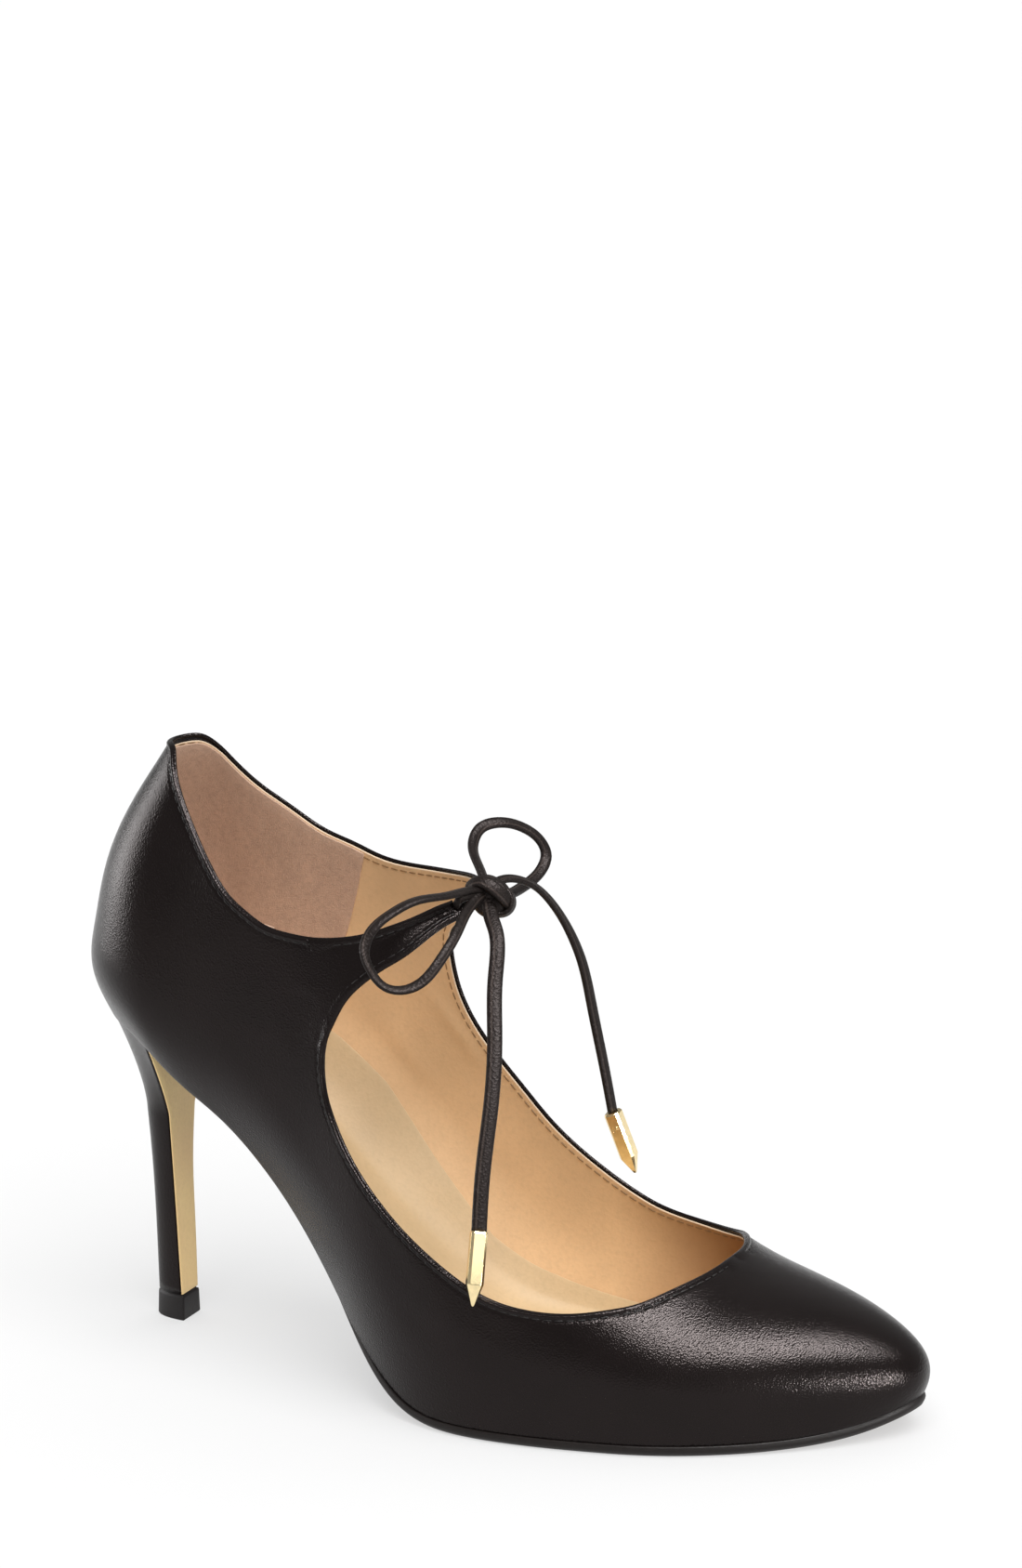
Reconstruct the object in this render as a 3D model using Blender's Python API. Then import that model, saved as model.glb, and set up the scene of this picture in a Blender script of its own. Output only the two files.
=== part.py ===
"""Mary jane pump tied with a leather cord: one right shoe, built from its last.

Sizes are in millimetres and become metres when a mesh is made. The shoe stands on z = 0 with its
toe to +X. Station is the distance along the last from the back of the heel, girth is the share of
a section from the feather line (0) to the ridge (1), and side is -1 for the outer half of the foot
and 1 for the inner half.
"""
import bmesh
import bpy
import numpy as np

MM = 0.001

# Driving sizes
TOE = 218.5
ORIGIN_STATION = 111.0
ORIGIN_SIDE = -5.28
WALL = 1.8
GAP = 0.3
SOLE_THICK = 2.8
WAIST_THICK = 1.2
SOLE_PROUD = 0.5
SOLE_WAIST_INSET = 1.5
PROUD_FROM = 60.0
PROUD_REACH = 45.0
INSOLE_THICK = 1.6
LIFT_HEIGHT = 6.5
LIFT_LIP = 0.2
LIFT_FLARE = 0.5
BREAST_COVER = 0.9
CORD = 3.1
AGLET = 4.6

# The last, a row every 15 mm from the back: heights above the floor and half widths
ROW_STEP = 15.0
LAST_COLUMNS = ("seat", "arch", "outer", "inner", "outer_swell", "inner_swell",
                "bulge", "ridge", "middle", "fullness")
LAST_ROWS = (
    (79.9, 0.0, 19.5, 19.5, 5.0, 5.0, 19.0, 166.0, 0.0, 0.20),
    (79.4, 0.0, 20.0, 20.0, 5.2, 5.2, 19.5, 166.0, 0.0, 0.20),
    (67.9, 0.0, 20.6, 20.5, 5.6, 5.6, 21.0, 168.0, 0.0, 0.26),
    (61.4, 0.3, 20.9, 20.0, 6.4, 6.7, 24.8, 172.0, 0.0, 0.38),
    (47.7, 1.6, 21.0, 18.1, 7.5, 9.0, 27.8, 166.0, 0.0, 0.47),
    (30.0, 3.3, 25.0, 17.7, 6.8, 10.4, 30.3, 155.7, 0.0, 0.48),
    (13.8, 3.8, 34.4, 21.0, 4.3, 9.2, 30.0, 139.7, 0.0, 0.45),
    (3.3, 2.5, 42.3, 26.6, 2.2, 6.0, 25.7, 122.1, 0.0, 0.43),
    (3.0, 0.7, 46.0, 31.8, 1.5, 3.1, 21.0, 99.3, 0.0, 0.42),
    (3.0, 0.0, 45.3, 34.3, 1.5, 1.9, 17.3, 74.9, 0.0, 0.44),
    (3.0, 0.0, 42.7, 34.9, 1.5, 1.5, 15.1, 53.6, 0.1, 0.50),
    (3.0, 0.0, 39.6, 34.2, 1.5, 1.5, 13.7, 40.7, 0.8, 0.53),
    (3.1, 0.0, 35.9, 32.8, 1.5, 1.5, 12.7, 34.6, 1.9, 0.52),
    (3.4, 0.0, 31.5, 29.9, 1.5, 1.5, 11.7, 32.4, 3.4, 0.55),
    (4.9, 0.0, 25.8, 25.7, 1.5, 1.5, 10.7, 33.0, 4.9, 0.58),
    (12.4, 0.0, 19.3, 20.7, 1.5, 1.5, 9.7, 35.4, 6.4, 0.58),
)
LAST = dict(zip(LAST_COLUMNS, np.array(LAST_ROWS).T))
# How far the back of the heel leans forward, a row every 12 mm above the seat
BACK_STEP = 12.0
BACK_LEAN = np.array((6.0, 0.2, 3.0, 4.7, 9.0, 16.2, 24.3, 28.0, 31.0))
BACK_REACH = 60.0
HEEL_ROUND = 26.0
HEEL_TIGHTEN = 0.5
HEEL_TIGHTEN_REACH = 0.5
TOE_PLAN_ROUND = 60.0
TOE_SIDE_ROUND = 40.0
TOE_SIDE_POWER = 2.2
TOE_ROLL = 2.5
TOE_ROLL_REACH = 36.0
BULGE_GIRTH = 0.3

# Edges of the opening as station and girth, for the outer and the inner side
COLLAR = {
    -1: ((0, 0.746), (3.5, 0.745), (6.8, 0.728), (12.5, 0.694), (20.7, 0.648), (28.2, 0.61),
         (39.8, 0.55), (47, 0.52), (54.1, 0.51), (60.3, 0.513), (65.9, 0.53), (72, 0.558)),
    1: ((0, 0.746), (3.5, 0.745), (8.1, 0.726), (15.8, 0.687), (23.7, 0.652), (31.9, 0.62),
        (40, 0.586), (47.5, 0.561), (54.5, 0.555), (60.5, 0.561), (66.3, 0.571), (77, 0.621)),
}
TAB_TOP = {
    -1: ((72, 0.558), (80, 0.61), (86, 0.66), (92, 0.722), (98, 0.801), (102.5, 0.885), (104.3, 0.924)),
    1: ((77, 0.621), (82, 0.657), (87, 0.699), (92, 0.748), (98, 0.822), (102.5, 0.893), (104.3, 0.924)),
}
TAB_LOW = {
    -1: ((80.6, 0.496), (83.4, 0.545), (87.3, 0.597), (92.5, 0.66), (96.5, 0.71), (102.4, 0.815),
         (105.9, 0.892)),
    1: ((86.3, 0.565), (89, 0.613), (92.5, 0.662), (96.5, 0.715), (100, 0.765), (103.2, 0.826),
        (105.9, 0.892)),
}
THROAT = {
    -1: ((80.6, 0.496), (79.4, 0.471), (79.0, 0.444), (79.9, 0.416), (82.5, 0.3985), (86.2, 0.39),
         (92.9, 0.39), (101.7, 0.3995), (110.1, 0.407), (118, 0.41), (131.2, 0.42), (137.9, 0.438),
         (144.2, 0.465), (150.1, 0.504), (155.6, 0.556), (160.7, 0.62), (165.4, 0.719), (169.2, 0.835),
         (170.7, 0.92), (171.1, 1.0)),
    1: ((86.3, 0.565), (86.2, 0.529), (87.3, 0.4985), (89.7, 0.479), (93.4, 0.469), (97.8, 0.465),
        (103.2, 0.462), (108.7, 0.455), (115.8, 0.4495), (124, 0.449), (132.7, 0.453), (137.7, 0.46),
        (142.9, 0.477), (148.2, 0.504), (153.8, 0.542), (159.8, 0.604), (165.1, 0.715), (169.2, 0.84),
        (170.7, 0.92), (171.1, 1.0)),
}
GIRTH_STRETCH = 70.0
FEATHER_AT_TAB = {-1: (54.0, 60.0), 1: (64.0, 71.0)}
FEATHER_AT_THROAT = 165.0

# Mesh density of the upper
HEEL_STEPS = 7
COLLAR_STEPS = 9
TAB_ROWS = 4
TAB_STEPS = 8
THROAT_STEPS = 26
VAMP_STEPS = 14
WALL_ROWS = 9
HOLE_STEP = 6
HOLE_ROWS = (1, 2)

# Mesh density of sole, insole and knot
FOREPART = 150.0
SOLE_STEPS = 28
SOLE_TOE_STEPS = 14
SOLE_ROWS = 8
INSOLE_HEEL_STEPS = 6
INSOLE_STEPS = 22
INSOLE_TOE_STEPS = 10
INSOLE_ROWS = 6
KNOT_RINGS = 9
KNOT_SIDES = 14

# The heel's stem: height, back, breast and half width
HEEL_BREAST_STATION = 18.0
SOLE_START = HEEL_BREAST_STATION + 0.8
STEM_ROWS = (
    (6.8, 16.1, 23.0, 3.9),
    (25.0, 15.6, 22.3, 4.4),
    (40.0, 14.9, 21.7, 4.9),
    (54.0, 13.9, 21.6, 6.3),
)
HEEL_ARC_STEPS = 22
BREAST_STEPS = 4
FLARE_RINGS = 9
FLARE_BACK = 1.55
FLARE_BREAST = 1.2
SEAT_INSET = 0.5

# Routes of the lace: distance along the shoe, sideways and up
KNOT_CENTRE = (107.8, 0.0, 120.5)
KNOT_SIZE = (4.3, 4.6, 4.8)
LACE_BAR = ((97.6, -13.0, 115.6), (98.4, -7.0, 117.8), (98.6, -1.0, 118.6),
            (98.4, 5.0, 118.0), (97.6, 10.0, 116.2))
LOOP_NEAR = ((105.6, -6.0, 122.5), (103.3, -15.0, 123.1), (99.8, -23.5, 123.7), (96.2, -30.5, 121.7),
             (93.5, -35.0, 118.3), (93.1, -37.5, 114.3), (95.3, -38.5, 109.9), (98.8, -38.0, 106.3),
             (102.7, -36.0, 105.6), (106.1, -33.0, 107.3), (108.4, -28.5, 111.4), (109.0, -22.0, 115.4),
             (107.9, -14.5, 118.4), (106.9, -7.5, 119.9))
LOOP_FAR = ((102.7, 5.2, 124.0), (99.2, 9.0, 126.2), (96.9, 13.0, 128.3), (96.9, 17.0, 130.8),
            (100.1, 22.0, 131.4), (103.3, 27.0, 129.3), (106.3, 30.0, 126.0), (108.0, 30.5, 122.4),
            (108.3, 27.0, 119.1), (107.7, 20.0, 117.3), (108.0, 12.0, 117.4), (108.3, 6.6, 118.2))
END_NEAR = ((110.6, -5.4, 116.2), (113.1, -8.0, 113.6), (116.3, -15.0, 104.0), (119.8, -22.5, 92.7),
            (123.0, -31.0, 79.2), (124.7, -39.0, 64.9), (126.6, -45.0, 52.3))
END_FAR = ((109.6, 5.5, 122.8), (111.5, 9.4, 121.6), (113.6, 14.0, 118.6), (115.9, 18.0, 113.7),
           (118.3, 22.0, 106.4), (120.2, 25.0, 98.3), (121.6, 28.0, 86.1), (123.8, 30.5, 70.2),
           (125.4, 32.0, 58.5))
AGLET_TIPS = {"near": (127.8, -51.0, 35.7), "far": (130.6, 34.5, 42.6)}
CORD_STEP = 6.5
AGLET_FACETS = 8
AGLET_PROFILE = ((0.0, 0.92), (0.05, 1.0), (0.72, 1.0), (0.97, 0.22), (1.0, 0.12))

MATERIALS = {
    "black_leather": ((0.012, 0.010, 0.010, 1.0), 0.38, 0.0),
    "tan_leather": ((0.62, 0.42, 0.24, 1.0), 0.55, 0.0),
    "sole_leather": ((0.05, 0.038, 0.032, 1.0), 0.5, 0.0),
    "lift_rubber": ((0.014, 0.013, 0.013, 1.0), 0.6, 0.0),
    "cord_leather": ((0.014, 0.011, 0.010, 1.0), 0.45, 0.0),
    "gilt_metal": ((0.86, 0.66, 0.32, 1.0), 0.22, 1.0),
}


def even_spline(values, step, at):
    """Cubic B-spline over control values at even steps, straight past both ends."""
    first = 2 * values[0] - values[1]
    last = 2 * values[-1] - values[-2]
    control = np.concatenate([[first], values, [last, last]])
    place = np.clip(np.asarray(at, float) / step, 0, len(values) - 1)
    k = np.minimum(np.floor(place).astype(int), len(values) - 2)
    u = place - k
    weights = ((1 - u) ** 3, 3 * u**3 - 6 * u**2 + 4, -3 * u**3 + 3 * u**2 + 3 * u + 1, u**3)
    return sum(w * control[k + i] for i, w in enumerate(weights)) / 6


def through_spline(knots, values, at):
    """Natural cubic spline through values (rows of numbers) at rising knots."""
    knots = np.asarray(knots, float)
    values = np.asarray(values, float)
    count = len(knots)
    h = np.diff(knots)
    matrix = np.eye(count)
    right = np.zeros_like(values)
    slope = np.diff(values, axis=0) / h[:, None]
    for i in range(1, count - 1):
        matrix[i, i - 1:i + 2] = h[i - 1], 2 * (h[i - 1] + h[i]), h[i]
        right[i] = 6 * (slope[i] - slope[i - 1])
    bend = np.linalg.solve(matrix, right)
    at = np.asarray(at, float)
    k = np.clip(np.searchsorted(knots, at) - 1, 0, count - 2)
    a = (knots[k + 1] - at)[:, None]
    b = (at - knots[k])[:, None]
    span = h[k][:, None]
    curved = (bend[k] * a**3 + bend[k + 1] * b**3) / (6 * span)
    before = (values[k] / span - bend[k] * span / 6) * a
    after = (values[k + 1] / span - bend[k + 1] * span / 6) * b
    return curved + before + after


def curve_points(rows, steps, stretch=1.0):
    """Points at even steps on the smooth curve through rows; stretch scales the last column's length."""
    rows = np.array(rows, float)
    scaled = rows.copy()
    scaled[:, -1] *= stretch
    along = np.concatenate([[0], np.cumsum(np.linalg.norm(np.diff(scaled, axis=0), axis=1))])
    return through_spline(along, rows, np.linspace(0, along[-1], steps + 1))


def rounding(share, power):
    """Quarter of a superellipse, 0 at share 0 and 1 from share 1 on."""
    return (1 - (1 - np.clip(share, 0, 1)) ** power) ** (1 / power)


def soft_step(share):
    share = np.clip(share, 0, 1)
    return share * share * (3 - 2 * share)


def last_row(name, station):
    return even_spline(LAST[name], ROW_STEP, station)


def last_point(station, girth, side):
    """Point on the last's outer face.

    Below the bulge a section swells out as a quarter sine; above it runs to the ridge as a cubic
    curve that leaves upright and arrives level. Plan and height are rounded at heel and toe.
    """
    station, girth = np.broadcast_arrays(np.asarray(station, float), np.asarray(girth, float))
    half = "inner" if side > 0 else "outer"
    seat = last_row("seat", station) + (last_row("arch", station) if side > 0 else 0.0)
    tighten = 1 - HEEL_TIGHTEN * soft_step((girth - BULGE_GIRTH) / HEEL_TIGHTEN_REACH)
    plan = rounding(station / (HEEL_ROUND * tighten), 2.0) * rounding((TOE - station) / TOE_PLAN_ROUND, 2.0)
    profile = rounding((TOE - station) / TOE_SIDE_ROUND, TOE_SIDE_POWER)
    wide = last_row(half, station) * plan
    swell = last_row(half + "_swell", station) * plan
    tall = last_row("ridge", station) - seat
    rise = tall * profile
    bulge = last_row("bulge", station) * profile
    full = last_row("fullness", station)
    low = np.clip(girth / BULGE_GIRTH, 0, 1)
    t = np.clip((girth - BULGE_GIRTH) / (1 - BULGE_GIRTH), 0, 1)
    pull_up = 3 * (1 - t) ** 2 * t
    pull_over = 3 * (1 - t) * t * t
    below = girth <= BULGE_GIRTH
    out = np.where(below, wide + swell * np.sin(low * np.pi / 2),
                   (wide + swell) * ((1 - t) ** 3 + pull_up + pull_over * full))
    up = np.where(below, bulge * low, bulge + (rise - bulge) * (pull_up * full + pull_over + t**3))
    lean = even_spline(BACK_LEAN, BACK_STEP, up) * (1 - soft_step(station / BACK_REACH))
    share = np.clip(up / tall, 0, 1)
    near_toe = np.clip((station - TOE + TOE_ROLL_REACH) / TOE_ROLL_REACH, 0, 1) ** 2
    roll = TOE_ROLL * near_toe * 4 * share * (1 - share)
    return np.stack([station + lean + roll, last_row("middle", station) + side * out, seat + up], -1)


def heel_stations(reach, steps):
    """Stations from the back seam, close together where the heel turns."""
    return reach * (1 - np.cos(np.linspace(0, np.pi / 2, steps + 1)))


def toe_stations(start, steps):
    """Stations up to the toe, close together where the toe turns."""
    return start + (TOE - start) * np.sin(np.linspace(0, np.pi / 2, steps + 1))


def finish_mesh(name, vertices, faces, material):
    """Weld a list of faces into one object, faces outward, in metres about the part's origin."""
    shift = np.array((ORIGIN_STATION, ORIGIN_SIDE, 0.0))
    mesh = bpy.data.meshes.new(name)
    mesh.from_pydata(((np.asarray(vertices) - shift) * MM).tolist(), [], faces)
    shape = bmesh.new()
    shape.from_mesh(mesh)
    bmesh.ops.remove_doubles(shape, verts=shape.verts, dist=0.002 * MM)
    bmesh.ops.dissolve_degenerate(shape, edges=shape.edges, dist=0.001 * MM)
    bmesh.ops.recalc_face_normals(shape, faces=shape.faces)
    shape.to_mesh(mesh)
    shape.free()
    mesh.shade_smooth()
    return place_object(name, mesh, material)


def place_object(name, data, material):
    part = bpy.data.objects.new(name, data)
    data.materials.append(material)
    part.parent = bpy.data.objects["shoe"]
    bpy.context.scene.collection.objects.link(part)
    return part


def grid_faces(columns, rows, start=0, turned=False):
    """Four-sided faces of a grid whose points run row by row inside each column."""
    faces = []
    for i in range(columns - 1):
        for j in range(rows - 1):
            a = start + i * rows + j
            face = (a, a + rows, a + rows + 1, a + 1)
            faces.append(face[::-1] if turned else face)
    return faces


def slab(name, top, bottom, material):
    """Closed solid between two grids of the same size, columns by rows."""
    columns, rows = top.shape[:2]
    count = columns * rows
    faces = grid_faces(columns, rows) + grid_faces(columns, rows, count, True)
    border = [i * rows for i in range(columns)]
    border += [(columns - 1) * rows + j for j in range(1, rows)]
    border += [i * rows + rows - 1 for i in range(columns - 2, -1, -1)]
    border += [j for j in range(rows - 2, 0, -1)]
    for a, b in zip(border, border[1:] + border[:1]):
        faces.append((a, a + count, b + count, b))
    return finish_mesh(name, np.concatenate([top.reshape(-1, 3), bottom.reshape(-1, 3)]), faces, material)


def upper_edges(side):
    """Upper border of the wall strip and the feather stations under it, from the back to the toe."""
    heel = heel_stations(HEEL_ROUND, HEEL_STEPS)
    tab_base = COLLAR[side][-1]
    body = np.linspace(HEEL_ROUND, tab_base[0], COLLAR_STEPS + 1)[1:]
    stations = np.concatenate([heel, body])
    rows = np.array(COLLAR[side], float)
    collar = np.stack([stations, through_spline(rows[:, 0], rows[:, 1:], stations)[:, 0]], -1)
    base = np.linspace(tab_base, THROAT[side][0], TAB_ROWS + 1)
    throat = curve_points(THROAT[side], THROAT_STEPS, GIRTH_STRETCH)
    vamp = toe_stations(throat[-1, 0], VAMP_STEPS)
    ridge = np.stack([vamp, np.ones_like(vamp)], -1)
    border = np.concatenate([collar, base[1:], throat[1:], ridge[1:]])
    at_top, at_low = FEATHER_AT_TAB[side]
    feather = np.concatenate([
        heel,
        np.linspace(HEEL_ROUND, at_top, COLLAR_STEPS + 1)[1:],
        np.linspace(at_top, at_low, TAB_ROWS + 1)[1:],
        np.linspace(at_low, FEATHER_AT_THROAT, THROAT_STEPS + 1)[1:],
        toe_stations(FEATHER_AT_THROAT, VAMP_STEPS)[1:],
    ])
    return border, feather


def tab_grid(side):
    """Tab over the instep: stations and girths between its lower and upper edge, rounded at the tip."""
    top = curve_points(TAB_TOP[side], TAB_STEPS, GIRTH_STRETCH)
    low = curve_points(TAB_LOW[side], TAB_STEPS, GIRTH_STRETCH)
    share = np.linspace(0, 1, TAB_ROWS + 1)[::-1]
    return low[:, None] + (top - low)[:, None] * share[None, :, None]


def build_upper(material):
    """Hollow wall: each side is a strip from feather to edge and a tab, thickened inward."""
    vertices, faces = [], []
    for side in (-1, 1):
        border, feather = upper_edges(side)
        rise = np.linspace(0, 1, WALL_ROWS + 1)
        station = feather[:, None] + (border[:, :1] - feather[:, None]) * rise
        girth = border[:, 1:] * rise
        strip = last_point(station, girth, side)
        faces += grid_faces(len(border), WALL_ROWS + 1, sum(map(len, vertices)), side > 0)
        vertices.append(strip.reshape(-1, 3))
        tab = tab_grid(side)
        start = sum(map(len, vertices))
        cells = grid_faces(TAB_STEPS + 1, TAB_ROWS + 1, start, side < 0)
        hole = {HOLE_STEP * TAB_ROWS + row for row in HOLE_ROWS}
        faces += [cell for i, cell in enumerate(cells) if i not in hole]
        vertices.append(last_point(tab[..., 0], tab[..., 1], side).reshape(-1, 3))
    upper = finish_mesh("upper", np.concatenate(vertices), faces, material)
    wall = upper.modifiers.new("wall", "SOLIDIFY")
    wall.thickness = WALL * MM
    wall.offset = -1.0
    wall.use_even_offset = True
    wall.use_quality_normals = True
    return upper


def feather_line(stations, side, out):
    """Feather line moved outward in plan by the distances in out."""
    line = last_point(stations, np.zeros_like(stations), side)
    way = np.gradient(line[:, :2], axis=0)
    way[np.abs(stations - TOE) < 1e-6] = (0.0, side)
    way[stations < 1e-6] = (0.0, side)
    way /= np.linalg.norm(way, axis=1)[:, None]
    normal = np.stack([-way[:, 1], way[:, 0]], -1) * side
    normal[np.abs(stations - TOE) < 1e-6] = (1.0, 0.0)
    normal[stations < 1e-6] = (-1.0, 0.0)
    moved = line.copy()
    moved[:, :2] += normal * np.asarray(out)[:, None]
    return moved


def across(outer, inner, rows):
    """Grid of straight lines from the outer edge to the inner edge."""
    share = np.linspace(0, 1, rows + 1)[None, :, None]
    return outer[:, None] + (inner - outer)[:, None] * share


def below(grid, thick):
    """Grid moved down square to its slope along the shoe."""
    slope = np.gradient(grid[..., 2], axis=0) / np.maximum(np.gradient(grid[..., 0], axis=0), 1e-6)
    down = np.stack([slope, np.zeros_like(slope), -np.ones_like(slope)], -1)
    down /= np.linalg.norm(down, axis=-1)[..., None]
    return grid + down * thick


def build_outsole(material):
    """Thin sole from the heel's breast to the toe, with one flat tread at the floor."""
    stations = np.concatenate([np.linspace(SOLE_START, FOREPART, SOLE_STEPS),
                               toe_stations(FOREPART, SOLE_TOE_STEPS)[1:]])
    forward = soft_step((stations - PROUD_FROM) / PROUD_REACH)
    out = -SOLE_WAIST_INSET + (SOLE_PROUD + SOLE_WAIST_INSET) * forward
    top = across(feather_line(stations, -1, out), feather_line(stations, 1, out), SOLE_ROWS)
    top[..., 2] -= GAP
    thick = WAIST_THICK + (SOLE_THICK - WAIST_THICK) * forward
    bottom = below(top, thick[:, None, None])
    bottom[..., 2] = np.maximum(bottom[..., 2], 0.0)
    return slab("outsole", top, bottom, material)


def build_insole(material):
    """Leather sock and board inside the wall, from the back seam to the toe."""
    stations = np.concatenate([heel_stations(HEEL_ROUND, INSOLE_HEEL_STEPS),
                               np.linspace(HEEL_ROUND, FOREPART, INSOLE_STEPS)[1:],
                               toe_stations(FOREPART, INSOLE_TOE_STEPS)[1:]])
    inset = np.full_like(stations, -(WALL + 2 * GAP))
    top = across(feather_line(stations, -1, inset), feather_line(stations, 1, inset), INSOLE_ROWS)
    bottom = top.copy()
    top[..., 2] += INSOLE_THICK
    return slab("insole", top, bottom, material)


def stem_ring(height, back, breast, half):
    """Level ring of the heel's stem: a half ellipse round the back and a flat breast."""
    turn = np.linspace(-np.pi / 2, np.pi / 2, HEEL_ARC_STEPS + 1)
    arc = np.stack([breast - (breast - back) * np.cos(turn), half * np.sin(turn),
                    np.full_like(turn, height)], -1)
    return close_ring(arc)


def close_ring(arc):
    """Add the straight breast between the ends of an arc."""
    share = np.linspace(0, 1, BREAST_STEPS + 1)[1:-1, None]
    return np.concatenate([arc, arc[-1] + (arc[0] - arc[-1]) * share])


def seat_ring():
    """Ring under the heel seat, on the feather line from breast corner to breast corner."""
    stations = heel_stations(HEEL_BREAST_STATION, HEEL_ARC_STEPS // 2)
    inset = np.full_like(stations, -SEAT_INSET)
    outer = feather_line(stations, -1, inset)
    inner = feather_line(stations, 1, inset)
    arc = np.concatenate([outer[::-1], inner[1:]])
    arc[:, 2] -= GAP
    return close_ring(arc)


def heel_rings():
    """Rings from the lift to the seat: the stem, then a flare that opens faster at the back."""
    rings = [stem_ring(*row) for row in STEM_ROWS]
    stem = rings[-1]
    seat = seat_ring()
    turn = np.linspace(-np.pi / 2, np.pi / 2, HEEL_ARC_STEPS + 1)
    power = np.full(len(stem), FLARE_BREAST)
    power[:HEEL_ARC_STEPS + 1] = FLARE_BACK + (FLARE_BREAST - FLARE_BACK) * np.sin(turn) ** 2
    for t in np.linspace(0, 1, FLARE_RINGS + 1)[1:]:
        ring = stem + (seat - stem) * (t ** power)[:, None]
        ring[:, 2] = stem[:, 2] + (seat[:, 2] - stem[:, 2]) * t
        rings.append(ring)
    return np.array(rings)


def tube_faces(levels, count):
    """Faces round a stack of rings that are open at both ends."""
    faces = []
    for i in range(levels - 1):
        for j in range(count):
            a = i * count + j
            b = i * count + (j + 1) % count
            faces.append((a, b, b + count, a + count))
    return faces


def ring_faces(levels, count):
    """Faces round a stack of heel rings, with strips across its bottom and its seat."""
    faces = tube_faces(levels, count)
    for start in (0, (levels - 1) * count):
        for j in range(HEEL_ARC_STEPS // 2):
            k = HEEL_ARC_STEPS - j
            faces.append((start + j, start + j + 1, start + k - 1, start + k))
        faces.append(tuple(start + j for j in [HEEL_ARC_STEPS, *range(HEEL_ARC_STEPS + 1, count), 0]))
    return faces


def build_heel(material):
    rings = heel_rings()
    return finish_mesh("heel", rings.reshape(-1, 3), ring_faces(*rings.shape[:2]), material)


def build_heel_breast(material):
    """Thin leather cover in front of the heel's breast, from the lift up to the sole."""
    rings = heel_rings()[:-1]
    corner = [HEEL_ARC_STEPS, *range(HEEL_ARC_STEPS + 1, rings.shape[1]), 0]
    face = rings[:, corner]
    rise = np.gradient(face, axis=0)
    normal = np.stack([rise[..., 2], np.zeros_like(rise[..., 2]), -rise[..., 0]], -1)
    normal /= np.linalg.norm(normal, axis=-1)[..., None]
    inner = face + normal * GAP
    return slab("heel_breast", inner + normal * BREAST_COVER, inner, material)


def build_top_lift(material):
    """Rubber tip under the heel, a little wider at the floor."""
    _, back, breast, half = STEM_ROWS[0]
    breast += GAP + BREAST_COVER
    top = stem_ring(LIFT_HEIGHT, back - LIFT_LIP, breast, half + LIFT_LIP)
    floor = stem_ring(0.0, back - LIFT_FLARE, breast + LIFT_LIP, half + LIFT_FLARE)
    rings = np.array([floor, top])
    return finish_mesh("top_lift", rings.reshape(-1, 3), ring_faces(*rings.shape[:2]), material)


def build_cord(name, route, material):
    """Round cord with flat ends on the smooth curve through its route."""
    length = np.linalg.norm(np.diff(np.array(route), axis=0), axis=1).sum()
    points = curve_points(route, max(4, int(round(length / CORD_STEP))))
    points = (points - np.array((ORIGIN_STATION, ORIGIN_SIDE, 0.0))) * MM
    data = bpy.data.curves.new(name, "CURVE")
    data.dimensions = "3D"
    data.bevel_depth = CORD / 2 * MM
    data.bevel_resolution = 2
    data.use_fill_caps = True
    spline = data.splines.new("POLY")
    spline.points.add(len(points) - 1)
    spline.points.foreach_set("co", np.c_[points, np.ones(len(points))].ravel())
    return place_object(name, data, material)


def build_knot(material):
    """Plain oval solid where the bow is tied."""
    tilt = np.linspace(-np.pi / 2, np.pi / 2, KNOT_RINGS)
    turn = np.linspace(0, 2 * np.pi, KNOT_SIDES, endpoint=False)
    grid = np.stack([np.outer(np.cos(tilt), np.cos(turn)), np.outer(np.cos(tilt), np.sin(turn)),
                     np.outer(np.sin(tilt), np.ones(KNOT_SIDES))], -1)
    vertices = (grid * KNOT_SIZE + KNOT_CENTRE).reshape(-1, 3)
    return finish_mesh("lace_knot", vertices, tube_faces(KNOT_RINGS, KNOT_SIDES), material)


def build_aglet(name, route, tip, material):
    """Faceted metal tip in line with the end of its cord."""
    start = np.array(route[-1])
    axis = np.array(tip) - start
    length = np.linalg.norm(axis)
    axis /= length
    start = start + axis * GAP
    across_one = np.cross(axis, (0.0, 1.0, 0.0))
    across_one /= np.linalg.norm(across_one)
    across_two = np.cross(axis, across_one)
    turn = np.linspace(0, 2 * np.pi, AGLET_FACETS, endpoint=False)
    circle = np.outer(np.cos(turn), across_one) + np.outer(np.sin(turn), across_two)
    vertices = np.concatenate([start + axis * length * share + circle * AGLET / 2 * radius
                               for share, radius in AGLET_PROFILE])
    ends = np.arange(len(vertices)).reshape(-1, AGLET_FACETS)[[0, -1]]
    faces = tube_faces(len(AGLET_PROFILE), AGLET_FACETS) + ends.tolist()
    return finish_mesh(name, vertices, faces, material)


def make_material(name):
    colour, roughness, metallic = MATERIALS[name]
    material = bpy.data.materials.new(name)
    material.use_nodes = True
    shader = material.node_tree.nodes["Principled BSDF"]
    shader.inputs["Base Color"].default_value = colour
    shader.inputs["Roughness"].default_value = roughness
    shader.inputs["Metallic"].default_value = metallic
    return material


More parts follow.
